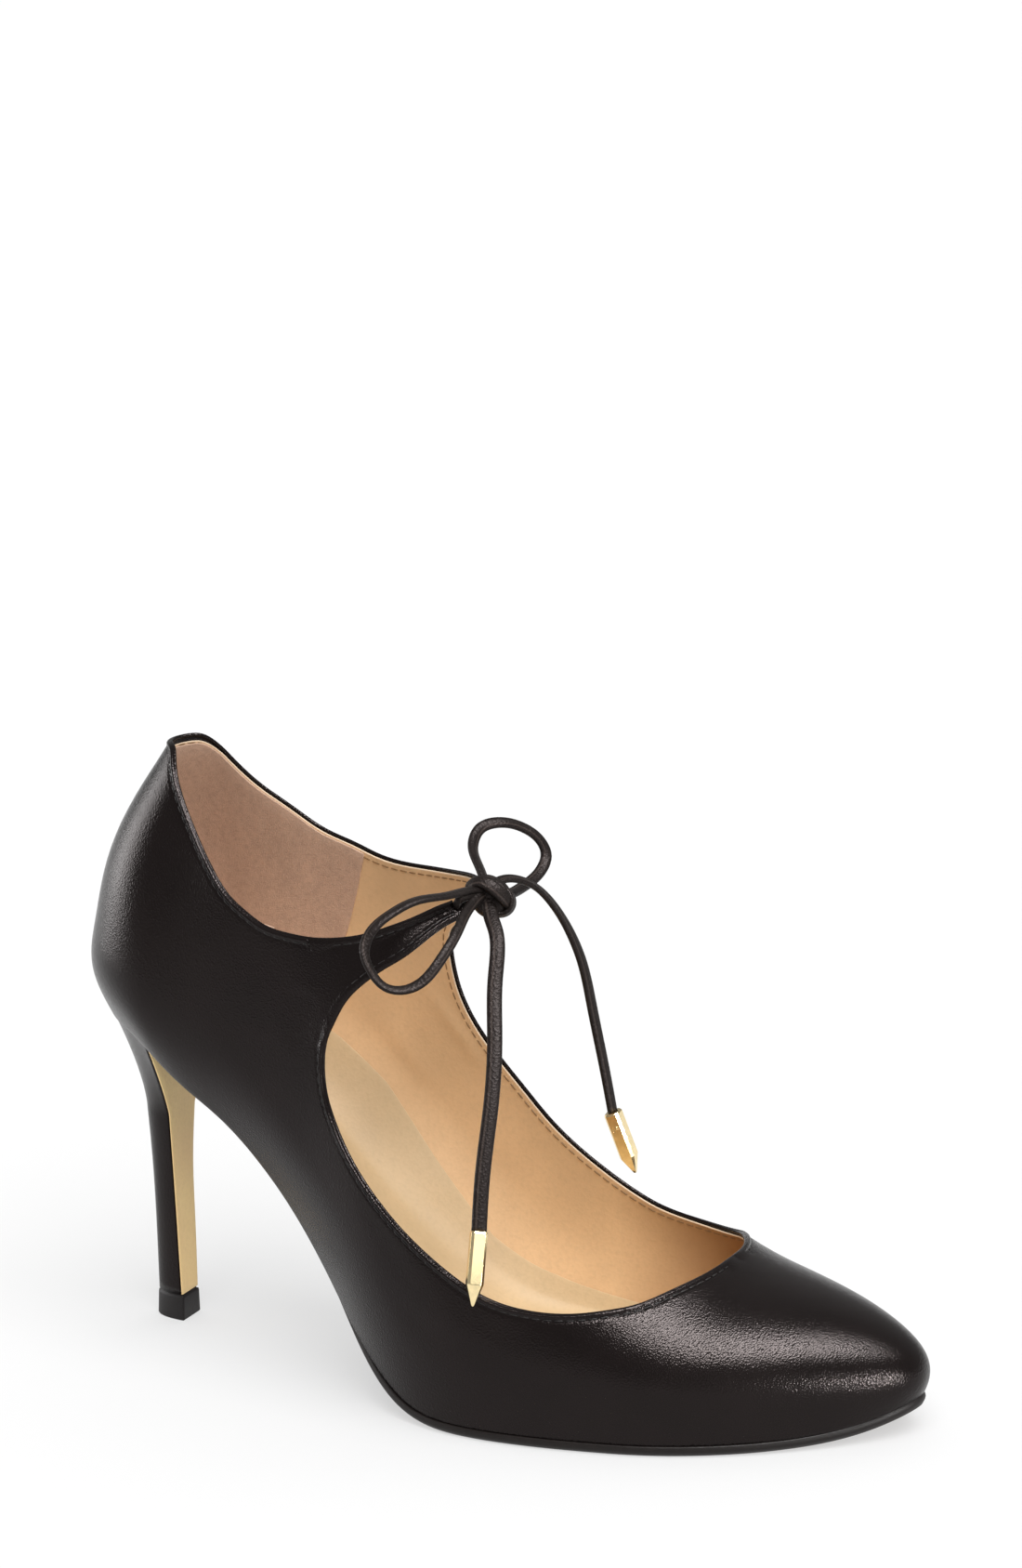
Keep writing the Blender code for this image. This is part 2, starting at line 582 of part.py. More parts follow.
def main():
    for item in list(bpy.data.objects):
        bpy.data.objects.remove(item)
    shoe = bpy.data.objects.new("shoe", None)
    bpy.context.scene.collection.objects.link(shoe)
    finish = {name: make_material(name) for name in MATERIALS}
    build_upper(finish["black_leather"])
    build_insole(finish["tan_leather"])
    build_outsole(finish["sole_leather"])
    build_heel(finish["black_leather"])
    build_heel_breast(finish["tan_leather"])
    build_top_lift(finish["lift_rubber"])
    build_cord("lace_bar", LACE_BAR, finish["cord_leather"])
    build_knot(finish["cord_leather"])
    build_cord("lace_loop_near", LOOP_NEAR, finish["cord_leather"])
    build_cord("lace_loop_far", LOOP_FAR, finish["cord_leather"])
    build_cord("lace_end_near", END_NEAR, finish["cord_leather"])
    build_cord("lace_end_far", END_FAR, finish["cord_leather"])
    build_aglet("aglet_near", END_NEAR, AGLET_TIPS["near"], finish["gilt_metal"])
    build_aglet("aglet_far", END_FAR, AGLET_TIPS["far"], finish["gilt_metal"])


main()
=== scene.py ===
"""Looks of a mary jane pump tied with a leather cord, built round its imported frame.

Tables are in millimetres in the shoemaker's own terms. Station is the distance along the last from
the back of the heel, girth is the share of a section from the feather line (0) to the ridge (1),
and side is -1 for the outer half of the foot and 1 for the inner half.
"""
import math

import bpy
import numpy as np
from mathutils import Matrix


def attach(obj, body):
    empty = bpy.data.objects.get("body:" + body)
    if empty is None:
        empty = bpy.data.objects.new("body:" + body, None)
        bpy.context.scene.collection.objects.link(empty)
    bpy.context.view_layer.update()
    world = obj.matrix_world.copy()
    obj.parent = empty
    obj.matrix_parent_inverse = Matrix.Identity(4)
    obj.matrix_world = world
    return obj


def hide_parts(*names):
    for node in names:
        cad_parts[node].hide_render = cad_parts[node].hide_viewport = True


bl_info = {
    "name": "Cord-tied pump",
    "version": (1, 0, 0),
    "blender": (4, 5, 0),
    "location": "View3D > Sidebar > Pump",
    "description": "Leather, lining, stitches, bow and studio of a cord-tied mary jane pump",
    "category": "Object",
}

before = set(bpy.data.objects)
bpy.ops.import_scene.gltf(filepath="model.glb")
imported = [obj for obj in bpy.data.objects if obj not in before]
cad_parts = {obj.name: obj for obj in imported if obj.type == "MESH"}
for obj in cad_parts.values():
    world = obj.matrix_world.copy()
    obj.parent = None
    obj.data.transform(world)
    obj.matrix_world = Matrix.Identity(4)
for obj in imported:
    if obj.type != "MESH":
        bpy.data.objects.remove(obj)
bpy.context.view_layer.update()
BODY = "root"
MM = 0.001
ORIGIN = np.array((111.0, -5.28, 0.0))

# The last, a row every 15 mm from the back: heights above the floor and half widths
TOE = 218.5
ROW_STEP = 15.0
LAST_COLUMNS = ("seat", "arch", "outer", "inner", "outer_swell", "inner_swell",
                "bulge", "ridge", "middle", "fullness")
LAST_ROWS = (
    (79.9, 0.0, 19.5, 19.5, 5.0, 5.0, 19.0, 166.0, 0.0, 0.20),
    (79.4, 0.0, 20.0, 20.0, 5.2, 5.2, 19.5, 166.0, 0.0, 0.20),
    (67.9, 0.0, 20.6, 20.5, 5.6, 5.6, 21.0, 168.0, 0.0, 0.26),
    (61.4, 0.3, 20.9, 20.0, 6.4, 6.7, 24.8, 172.0, 0.0, 0.38),
    (47.7, 1.6, 21.0, 18.1, 7.5, 9.0, 27.8, 166.0, 0.0, 0.47),
    (30.0, 3.3, 25.0, 17.7, 6.8, 10.4, 30.3, 155.7, 0.0, 0.48),
    (13.8, 3.8, 34.4, 21.0, 4.3, 9.2, 30.0, 139.7, 0.0, 0.45),
    (3.3, 2.5, 42.3, 26.6, 2.2, 6.0, 25.7, 122.1, 0.0, 0.43),
    (3.0, 0.7, 46.0, 31.8, 1.5, 3.1, 21.0, 99.3, 0.0, 0.42),
    (3.0, 0.0, 45.3, 34.3, 1.5, 1.9, 17.3, 74.9, 0.0, 0.44),
    (3.0, 0.0, 42.7, 34.9, 1.5, 1.5, 15.1, 53.6, 0.1, 0.50),
    (3.0, 0.0, 39.6, 34.2, 1.5, 1.5, 13.7, 40.7, 0.8, 0.53),
    (3.1, 0.0, 35.9, 32.8, 1.5, 1.5, 12.7, 34.6, 1.9, 0.52),
    (3.4, 0.0, 31.5, 29.9, 1.5, 1.5, 11.7, 32.4, 3.4, 0.55),
    (4.9, 0.0, 25.8, 25.7, 1.5, 1.5, 10.7, 33.0, 4.9, 0.58),
    (12.4, 0.0, 19.3, 20.7, 1.5, 1.5, 9.7, 35.4, 6.4, 0.58),
)
LAST = dict(zip(LAST_COLUMNS, np.array(LAST_ROWS).T))
# How far the back of the heel leans forward, a row every 12 mm above the seat
BACK_STEP = 12.0
BACK_LEAN = np.array((6.0, 0.2, 3.0, 4.7, 9.0, 16.2, 24.3, 28.0, 31.0))
BACK_REACH = 60.0
HEEL_ROUND = 26.0
HEEL_TIGHTEN = 0.5
HEEL_TIGHTEN_REACH = 0.5
TOE_PLAN_ROUND = 60.0
TOE_SIDE_ROUND = 40.0
TOE_SIDE_POWER = 2.2
TOE_ROLL = 2.5
TOE_ROLL_REACH = 36.0
BULGE_GIRTH = 0.3
# Step in station and girth over which slopes of the last are taken, and the area that has no normal
SLOPE_STEP = np.array((0.02, 0.0005))
LEAST_AREA = 1e-9

# Edges of the opening as station and girth, for the outer and the inner side
COLLAR = {
    -1: ((0, 0.746), (3.5, 0.745), (6.8, 0.728), (12.5, 0.694), (20.7, 0.648), (28.2, 0.61),
         (39.8, 0.55), (47, 0.52), (54.1, 0.51), (60.3, 0.513), (65.9, 0.53), (72, 0.558)),
    1: ((0, 0.746), (3.5, 0.745), (8.1, 0.726), (15.8, 0.687), (23.7, 0.652), (31.9, 0.62),
        (40, 0.586), (47.5, 0.561), (54.5, 0.555), (60.5, 0.561), (66.3, 0.571), (77, 0.621)),
}
TAB_TOP = {
    -1: ((72, 0.558), (80, 0.61), (86, 0.66), (92, 0.722), (98, 0.801), (102.5, 0.885), (104.3, 0.924)),
    1: ((77, 0.621), (82, 0.657), (87, 0.699), (92, 0.748), (98, 0.822), (102.5, 0.893), (104.3, 0.924)),
}
TAB_LOW = {
    -1: ((80.6, 0.496), (83.4, 0.545), (87.3, 0.597), (92.5, 0.66), (96.5, 0.71), (102.4, 0.815),
         (105.9, 0.892)),
    1: ((86.3, 0.565), (89, 0.613), (92.5, 0.662), (96.5, 0.715), (100, 0.765), (103.2, 0.826),
        (105.9, 0.892)),
}
LACE_HOLE = (103.5, 0.886)
HOLE_RADIUS = 1.3
THROAT = {
    -1: ((80.6, 0.496), (79.4, 0.471), (79.0, 0.444), (79.9, 0.416), (82.5, 0.3985), (86.2, 0.39),
         (92.9, 0.39), (101.7, 0.3995), (110.1, 0.407), (118, 0.41), (131.2, 0.42), (137.9, 0.438),
         (144.2, 0.465), (150.1, 0.504), (155.6, 0.556), (160.7, 0.62), (165.4, 0.719), (169.2, 0.835),
         (170.7, 0.92), (171.1, 1.0)),
    1: ((86.3, 0.565), (86.2, 0.529), (87.3, 0.4985), (89.7, 0.479), (93.4, 0.469), (97.8, 0.465),
        (103.2, 0.462), (108.7, 0.455), (115.8, 0.4495), (124, 0.449), (132.7, 0.453), (137.7, 0.46),
        (142.9, 0.477), (148.2, 0.504), (153.8, 0.542), (159.8, 0.604), (165.1, 0.715), (169.2, 0.84),
        (170.7, 0.92), (171.1, 1.0)),
}
GIRTH_STRETCH = 70.0
FEATHER_AT_TAB = {-1: (48.0, 51.0), 1: (56.0, 60.0)}
FEATHER_AT_THROAT = 182.0

# Steps on each stretch of the upper's grid, how they crowd at its edges, how far from the back seam the
# wider fold reaches, the length below which a normal is lost, and how close points share a place
HEEL_STEPS = 26
COLLAR_STEPS = 34
TAB_ROWS = 16
TAB_STEPS = 90
THROAT_STEPS = 140
THROAT_CROWD = 0.7
VAMP_STEPS = 56
WALL_ROWS = 26
EDGE_ROWS = 22
EDGE_BAND = 11.0
EDGE_CROWD = 1.8
BACK_RIM_REACH = 9.0
NORMAL_LOST = 0.9
PLACES_PER_MM = 500

# The heel's stem: height, back, breast and half width
HEEL_BREAST_STATION = 18.0
STEM_ROWS = (
    (6.8, 16.1, 23.0, 3.9),
    (25.0, 15.6, 22.3, 4.4),
    (40.0, 14.9, 21.7, 4.9),
    (54.0, 13.9, 21.6, 6.3),
)
FLARE_BACK = 1.55
FLARE_BREAST = 1.2
SEAT_INSET = 0.5
GAP = 0.3
HEEL_ARC_STEPS = 72
BREAST_STEPS = 12
FLARE_RINGS = 40
STEM_RINGS = 24
# The lift's rings: height and how far each stands proud of the stem
LIFT_ROWS = ((0.0, 0.15), (0.3, 0.35), (5.6, 0.2), (6.1, 0.12), (6.3, -0.3), (6.7, -0.3))
LIFT_FRONT = 0.4
BREAST_FRONT = 0.8
BREAST_THICK = 0.35
BREAST_GAP = 0.04
BREAST_RIM = 0.1
BREAST_RIM_STEPS = 4

# The lace's section: step along it, points round it, squareness, and where its seam's dent is, how deep
# and how wide
CORD_STEP = 0.8
CORD_SIDES = 20
CORD_SQUARE = 0.8
SEAM_TURN = 0.45
SEAM_DENT = 0.14
SEAM_WIDTH = 0.28

# The bow's routes: distance along the shoe, sideways and up
KNOT_CENTRE = np.array((107.8, 0.0, 120.5))
LOOP_NEAR = ((105.6, -6.0, 122.5), (103.3, -15.0, 123.1), (99.8, -23.5, 123.7), (96.2, -30.5, 121.7),
             (93.5, -35.0, 118.3), (93.1, -37.5, 114.3), (95.3, -38.5, 109.9), (98.8, -38.0, 106.3),
             (102.7, -36.0, 105.6), (106.1, -33.0, 107.3), (108.4, -28.5, 111.4), (109.0, -22.0, 115.4),
             (107.9, -14.5, 118.4), (106.9, -7.5, 119.9))
LOOP_FAR = ((102.7, 5.2, 124.0), (99.2, 9.0, 126.2), (96.9, 13.0, 128.3), (96.9, 17.0, 130.8),
            (100.1, 22.0, 131.4), (103.3, 27.0, 129.3), (106.3, 30.0, 126.0), (108.0, 30.5, 122.4),
            (108.3, 27.0, 119.1), (107.7, 20.0, 117.3), (108.0, 12.0, 117.4), (108.3, 6.6, 118.2))
END_NEAR = ((110.6, -5.4, 116.2), (113.1, -8.0, 113.6), (116.3, -15.0, 104.0), (119.8, -22.5, 92.7),
            (123.0, -31.0, 79.2), (124.7, -39.0, 64.9), (126.6, -45.0, 52.3))
END_FAR = ((109.6, 5.5, 122.8), (111.5, 9.4, 121.6), (113.6, 14.0, 118.6), (115.9, 18.0, 113.7),
           (118.3, 22.0, 106.4), (120.2, 25.0, 98.3), (121.6, 28.0, 86.1), (123.8, 30.5, 70.2),
           (125.4, 32.0, 58.5))
AGLET_TIPS = {"near": (127.8, -51.0, 35.7), "far": (130.6, 34.5, 42.6)}

# The photograph's camera: where it stands, in millimetres, and how it is turned
CAMERA_AT = np.array((728.2, -1277.8, 538.4))
CAMERA_YAW = 25.70
CAMERA_PITCH = 15.39
PHOTO_HEIGHT = 1687.0
FOCAL_PIXELS = 6675.0
SENSOR = 36.0


def even_spline(values, step, at):
    """Cubic B-spline over control values at even steps, straight past both ends."""
    first = 2 * values[0] - values[1]
    last = 2 * values[-1] - values[-2]
    control = np.concatenate([[first], values, [last, last]])
    place = np.clip(np.asarray(at, float) / step, 0, len(values) - 1)
    k = np.minimum(np.floor(place).astype(int), len(values) - 2)
    u = place - k
    weights = ((1 - u) ** 3, 3 * u**3 - 6 * u**2 + 4, -3 * u**3 + 3 * u**2 + 3 * u + 1, u**3)
    return sum(w * control[k + i] for i, w in enumerate(weights)) / 6


def through_spline(knots, values, at):
    """Natural cubic spline through values (rows of numbers) at rising knots."""
    knots = np.asarray(knots, float)
    values = np.asarray(values, float)
    count = len(knots)
    h = np.diff(knots)
    matrix = np.eye(count)
    right = np.zeros_like(values)
    slope = np.diff(values, axis=0) / h[:, None]
    for i in range(1, count - 1):
        matrix[i, i - 1:i + 2] = h[i - 1], 2 * (h[i - 1] + h[i]), h[i]
        right[i] = 6 * (slope[i] - slope[i - 1])
    bend = np.linalg.solve(matrix, right)
    at = np.asarray(at, float)
    k = np.clip(np.searchsorted(knots, at) - 1, 0, count - 2)
    a = (knots[k + 1] - at)[:, None]
    b = (at - knots[k])[:, None]
    span = h[k][:, None]
    curved = (bend[k] * a**3 + bend[k + 1] * b**3) / (6 * span)
    before = (values[k] / span - bend[k] * span / 6) * a
    after = (values[k + 1] / span - bend[k + 1] * span / 6) * b
    return curved + before + after


def between(spots, knots, rows):
    """Rows of numbers at spots, straight from knot to knot."""
    return np.stack([np.interp(spots, knots, column) for column in rows.T], -1)


def unit(vectors, least=1e-12):
    """Vectors scaled to length one; those shorter than least stay short."""
    return vectors / np.maximum(np.linalg.norm(vectors, axis=-1, keepdims=True), least)


def lengths_along(points):
    """Running length of a line of points."""
    return np.concatenate([[0], np.cumsum(np.linalg.norm(np.diff(points, axis=0), axis=1))])


def curve_points(rows, steps, stretch=1.0):
    """Points at even steps on the smooth curve through rows; stretch scales the last column's length."""
    rows = np.array(rows, float)
    scaled = rows.copy()
    scaled[:, -1] *= stretch
    along = lengths_along(scaled)
    return through_spline(along, rows, np.linspace(0, along[-1], steps + 1))


def rounding(share, power):
    """Quarter of a superellipse, 0 at share 0 and 1 from share 1 on."""
    return (1 - (1 - np.clip(share, 0, 1)) ** power) ** (1 / power)


def soft_step(share):
    """Smooth rise from 0 to 1: three times the square less twice the cube."""
    share = np.clip(share, 0, 1)
    return share * share * (3 - 2 * share)


def last_row(name, station):
    """One column of the last's table at any station."""
    return even_spline(LAST[name], ROW_STEP, station)


def last_point(station, girth, side):
    """Point on the last's outer face.

    Below the bulge a section swells out as a quarter sine; above it runs to the ridge as a cubic
    curve that leaves upright and arrives level. Plan and height are rounded at heel and toe.
    """
    station, girth = np.broadcast_arrays(np.asarray(station, float), np.asarray(girth, float))
    half = "inner" if side > 0 else "outer"
    seat = last_row("seat", station) + (last_row("arch", station) if side > 0 else 0.0)
    tighten = 1 - HEEL_TIGHTEN * soft_step((girth - BULGE_GIRTH) / HEEL_TIGHTEN_REACH)
    plan = rounding(station / (HEEL_ROUND * tighten), 2.0) * rounding((TOE - station) / TOE_PLAN_ROUND, 2.0)
    profile = rounding((TOE - station) / TOE_SIDE_ROUND, TOE_SIDE_POWER)
    wide = last_row(half, station) * plan
    swell = last_row(half + "_swell", station) * plan
    tall = last_row("ridge", station) - seat
    rise = tall * profile
    bulge = last_row("bulge", station) * profile
    full = last_row("fullness", station)
    low = np.clip(girth / BULGE_GIRTH, 0, 1)
    t = np.clip((girth - BULGE_GIRTH) / (1 - BULGE_GIRTH), 0, 1)
    pull_up = 3 * (1 - t) ** 2 * t
    pull_over = 3 * (1 - t) * t * t
    below = girth <= BULGE_GIRTH
    out = np.where(below, wide + swell * np.sin(low * np.pi / 2),
                   (wide + swell) * ((1 - t) ** 3 + pull_up + pull_over * full))
    up = np.where(below, bulge * low, bulge + (rise - bulge) * (pull_up * full + pull_over + t**3))
    lean = even_spline(BACK_LEAN, BACK_STEP, up) * (1 - soft_step(station / BACK_REACH))
    share = np.clip(up / tall, 0, 1)
    near_toe = np.clip((station - TOE + TOE_ROLL_REACH) / TOE_ROLL_REACH, 0, 1) ** 2
    roll = TOE_ROLL * near_toe * 4 * share * (1 - share)
    return np.stack([station + lean + roll, last_row("middle", station) + side * out, seat + up], -1)


def last_frame(params, side):
    """Point, the two tangents and the outward normal of the last at stations and girths."""
    lower = np.maximum(params - SLOPE_STEP, (0.0, 0.0))
    upper = np.minimum(params + SLOPE_STEP, (TOE, 1.0))
    point = last_point(params[:, 0], params[:, 1], side)
    along = last_point(upper[:, 0], params[:, 1], side) - last_point(lower[:, 0], params[:, 1], side)
    along /= (upper - lower)[:, :1]
    around = last_point(params[:, 0], upper[:, 1], side) - last_point(params[:, 0], lower[:, 1], side)
    around /= (upper - lower)[:, 1:]
    return point, along, around, unit(np.cross(along, around) * -side, LEAST_AREA)


def move_in(params, side, distance):
    """Move an edge of the upper onto the leather by a distance square to it along the surface.

    The way in is the edge's tangent crossed with the normal. It is written in station and girth by
    solving the two-by-two system of the surface's tangents. The ends stay on the back seam and ridge.
    """
    point, along, around, normal = last_frame(params, side)
    distance = np.broadcast_to(distance, len(params))
    tangent = unit(np.gradient(point, axis=0))
    way = np.cross(tangent, normal) * -side * distance[:, None]
    aa = (along * along).sum(1)
    ab = (along * around).sum(1)
    bb = (around * around).sum(1)
    av = (along * way).sum(1)
    bv = (around * way).sum(1)
    det = aa * bb - ab * ab
    moved = params + np.stack([bb * av - ab * bv, aa * bv - ab * av], -1) / det[:, None]
    if params[0, 0] == 0:
        moved[0] = 0.0, params[0, 1] - distance[0] / np.sqrt(bb[0])
    if params[-1, 1] == 1:
        moved[-1] = params[-1, 0] + distance[-1] / np.sqrt(aa[-1]), 1.0
    moved[:, 0] = np.maximum(moved[:, 0], 0.0)
    moved[:, 1] = np.minimum(moved[:, 1], 1.0)
    return moved


def heel_stations(reach, steps):
    """Stations from the back seam, close together where the heel turns."""
    return reach * (1 - np.cos(np.linspace(0, np.pi / 2, steps + 1)))


def toe_stations(start, steps):
    """Stations up to the toe, close together where the toe turns."""
    return start + (TOE - start) * np.sin(np.linspace(0, np.pi / 2, steps + 1))


def top_edge(side):
    """Edge from the back seam along the collar and over the tab to its tip."""
    rows = np.array(COLLAR[side] + TAB_TOP[side][1:], float)
    base = COLLAR[side][-1][0]
    stations = np.concatenate([heel_stations(HEEL_ROUND, HEEL_STEPS),
                               np.linspace(HEEL_ROUND, base, COLLAR_STEPS + 1)[1:],
                               np.linspace(base, rows[-1, 0], TAB_STEPS + 1)[1:]])
    return np.stack([stations, through_spline(rows[:, 0], rows[:, 1:], stations)[:, 0]], -1)


def keyhole_edge(side):
    """Edge from the tab's tip back under the tab and along the throat to the ridge."""
    rows = np.array(TAB_LOW[side][::-1] + THROAT[side][1:], float)
    along = lengths_along(rows * (1.0, GIRTH_STRETCH))
    turn = along[len(TAB_LOW[side]) - 1]
    share = np.linspace(0, 1, THROAT_STEPS + 1)[1:]
    share = share - THROAT_CROWD * np.sin(2 * np.pi * share) / (2 * np.pi)
    spots = np.concatenate([np.linspace(0, turn, TAB_STEPS + 1), turn + (along[-1] - turn) * share])
    edge = through_spline(along, rows, spots)
    edge[-1, 1] = 1.0
    return edge


def moved_top(side, inset, at_back):
    """Top edge moved in by inset, and by at_back more at the back seam, fading away from it as a bell."""
    top = top_edge(side)
    return move_in(top, side, inset + at_back * np.exp(-((top[:, 0] / BACK_RIM_REACH) ** 2)))


def shortened(edge, share):
    """The same number of points on the first share of an edge."""
    return between(np.linspace(0, (len(edge) - 1) * share, len(edge)), np.arange(len(edge)), edge)


def grid_quads(columns, rows, turned):
    """Four-sided faces of a grid whose points run row by row inside each column."""
    index = np.arange(columns * rows).reshape(columns, rows)
    quads = np.stack([index[:-1, :-1], index[1:, :-1], index[1:, 1:], index[:-1, 1:]], -1).reshape(-1, 4)
    return quads[:, ::-1] if turned else quads


def ring_quads(lower, upper):
    """Four-sided faces between rings of point numbers and the rings above them, a row for each."""
    corners = [lower, np.roll(lower, -1, axis=1), np.roll(upper, -1, axis=1), upper]
    return np.stack(corners, -1).reshape(-1, 4)


def weld(points, quads):
    """Join points that share a place, and drop faces that collapse."""
    keys = np.round(points * PLACES_PER_MM).astype(np.int64)
    _, first, inverse = np.unique(keys, axis=0, return_index=True, return_inverse=True)
    quads = inverse.reshape(-1)[quads]
    flat = (quads[:, 0] == quads[:, 2]) | (quads[:, 1] == quads[:, 3])
    doubled = (quads == np.roll(quads, -1, axis=1)).sum(1) > 1
    used, quads = np.unique(quads[~(flat | doubled)], return_inverse=True)
    return points[first[used]], quads.reshape(-1, 4), first[used]


def punch(points, quads, centre, radius):
    """Round hole: points nearer than the radius go out onto its circle, faces wholly inside are dropped."""
    away = points - centre
    reach = np.linalg.norm(away, axis=1)
    inside = reach < radius
    onto = centre + away * (radius / np.maximum(reach, 1e-6))[:, None]
    return np.where(inside[:, None], onto, points), quads[~inside[quads].all(1)]


def upper_sheet(inset, at_back=0.0):
    """Sheet of the upper on the last, its open edges moved in by inset.

    At the back seam the edge moves in by at_back more. Each side is a strip whose columns run from the
    feather line to the edge, and a tab ruled between its two edges. Rows crowd in the last few
    millimetres under the edge. Returns points, faces and each point's outward normal and girth.
    """
    points, quads, normals, girths = [], [], [], []
    count = 0
    for side in (-1, 1):
        top = moved_top(side, inset, at_back)
        key = move_in(keyhole_edge(side), side, inset)
        split = HEEL_STEPS + COLLAR_STEPS
        collar, tab_top = top[:split + 1], top[split:]
        tab_low, throat = key[:TAB_STEPS + 1][::-1], key[TAB_STEPS:]
        share = 1 - inset / lengths_along(last_point(tab_top[:, 0], tab_top[:, 1], side))[-1]
        tab_top = shortened(tab_top, share)
        tab_low = shortened(tab_low, share)
        base = np.linspace(collar[-1], throat[0], TAB_ROWS + 1)
        vamp = toe_stations(throat[-1, 0], VAMP_STEPS)
        ridge = np.stack([vamp, np.ones_like(vamp)], -1)
        border = np.concatenate([collar, base[1:], throat[1:], ridge[1:]])
        at_top, at_low = FEATHER_AT_TAB[side]
        feather = np.concatenate([
            heel_stations(HEEL_ROUND, HEEL_STEPS),
            np.linspace(HEEL_ROUND, at_top, COLLAR_STEPS + 1)[1:],
            np.linspace(at_top, at_low, TAB_ROWS + 1)[1:],
            np.linspace(at_low, FEATHER_AT_THROAT, THROAT_STEPS + 1)[1:],
            toe_stations(FEATHER_AT_THROAT, VAMP_STEPS)[1:],
        ])
        height = np.maximum(np.abs(last_point(border[:, 0], border[:, 1], side)
                                   - last_point(feather, 0.0, side)).max(-1), 2 * EDGE_BAND)
        knee = (1 - EDGE_BAND / height)[:, None]
        rise = np.concatenate([knee * np.linspace(0, 1, WALL_ROWS + 1)[None, :-1],
                               1 - (1 - knee) * np.linspace(1, 0, EDGE_ROWS + 1)[None] ** EDGE_CROWD], 1)
        station = feather[:, None] + (border[:, :1] - feather[:, None]) * rise
        girth = border[:, 1:] * rise
        share = np.linspace(1, 0, TAB_ROWS + 1)[None, :, None]
        tab = tab_low[:, None] + (tab_top - tab_low)[:, None] * share
        for stations, shares, turned in ((station, girth, side > 0), (tab[..., 0], tab[..., 1], side < 0)):
            quads.append(grid_quads(*stations.shape, turned) + count)
            point, _, _, normal = last_frame(np.stack([stations.ravel(), shares.ravel()], -1), side)
            points.append(point)
            normals.append(normal)
            girths.append(shares.ravel())
            count += stations.size
    points, quads = np.concatenate(points), np.concatenate(quads)
    for side in (-1, 1):
        points, quads = punch(points, quads, last_point(*LACE_HOLE, side), HOLE_RADIUS)
    points, quads, first = weld(points, quads)
    normals = np.concatenate(normals)[first]
    lost = np.linalg.norm(normals, axis=1) < NORMAL_LOST
    normals[lost] = sheet_normals(points, quads)[lost]
    return points, quads, normals, np.concatenate(girths)[first]


def sheet_normals(points, quads):
    """Outward normal at each point of a sheet, from the diagonals of its faces."""
    face = np.cross(points[quads[:, 2]] - points[quads[:, 0]], points[quads[:, 3]] - points[quads[:, 1]])
    normals = np.zeros_like(points)
    for k in range(4):
        np.add.at(normals, quads[:, k], face)
    return unit(normals)


def open_edges(quads, count):
    """Directed edges that only one face has."""
    pairs = np.concatenate([np.stack([quads[:, k], quads[:, (k + 1) % 4]], -1) for k in range(4)])
    pairs = pairs[pairs[:, 0] != pairs[:, 1]]
    return pairs[~np.isin(pairs[:, 0] * count + pairs[:, 1], pairs[:, 1] * count + pairs[:, 0])]


def round_rim(reach, steps=6):
    """Rim of a wall as half an ellipse: share of the half thickness and reach beyond the edge."""
    turn = np.linspace(0, np.pi, steps + 1)[1:-1]
    return np.stack([np.cos(turn), np.sin(turn) * reach], -1)


def shell(points, quads, outer, inner, rim_rows, normals=None):
    """Closed wall about a sheet, from outer above it to inner below it, with a rim along its edges.

    Outer and inner are one distance each, or one for each point. The rim runs from the outer face to
    the inner one through rim_rows: the share of the half thickness, from 1 down to -1, and how far
    beyond the sheet's edge. Points come as outer face, inner face and rim.
    """
    count = len(points)
    if normals is None:
        normals = sheet_normals(points, quads)
    above = points + normals * np.reshape(outer, (-1, 1))
    under = points - normals * np.reshape(inner, (-1, 1))
    edges = open_edges(quads, count)
    way = np.zeros_like(points)
    np.add.at(way, edges[:, 0], points[edges[:, 1]] - points[edges[:, 0]])
    np.add.at(way, edges[:, 1], points[edges[:, 1]] - points[edges[:, 0]])
    rim = np.unique(edges)
    off = unit(np.cross(way[rim], normals[rim]))
    half = (above[rim] - under[rim]) / 2
    middle = (above[rim] + under[rim]) / 2
    across, beyond = np.asarray(rim_rows, float).T
    arcs = middle[:, None] + half[:, None] * across[None, :, None] + off[:, None] * beyond[None, :, None]
    slot = np.full(count, -1)
    slot[rim] = np.arange(len(rim))
    middle_index = 2 * count + np.arange(arcs.shape[0] * arcs.shape[1]).reshape(arcs.shape[:2])
    chain = np.concatenate([rim[:, None], middle_index, count + rim[:, None]], 1)
    a = chain[slot[edges[:, 0]]]
    b = chain[slot[edges[:, 1]]]
    rim_quads = np.stack([b[:, :-1], a[:, :-1], a[:, 1:], b[:, 1:]], -1).reshape(-1, 4)
    everything = np.concatenate([above, under, arcs.reshape(-1, 3)])
    return everything, np.concatenate([quads, quads[:, ::-1] + count, rim_quads])


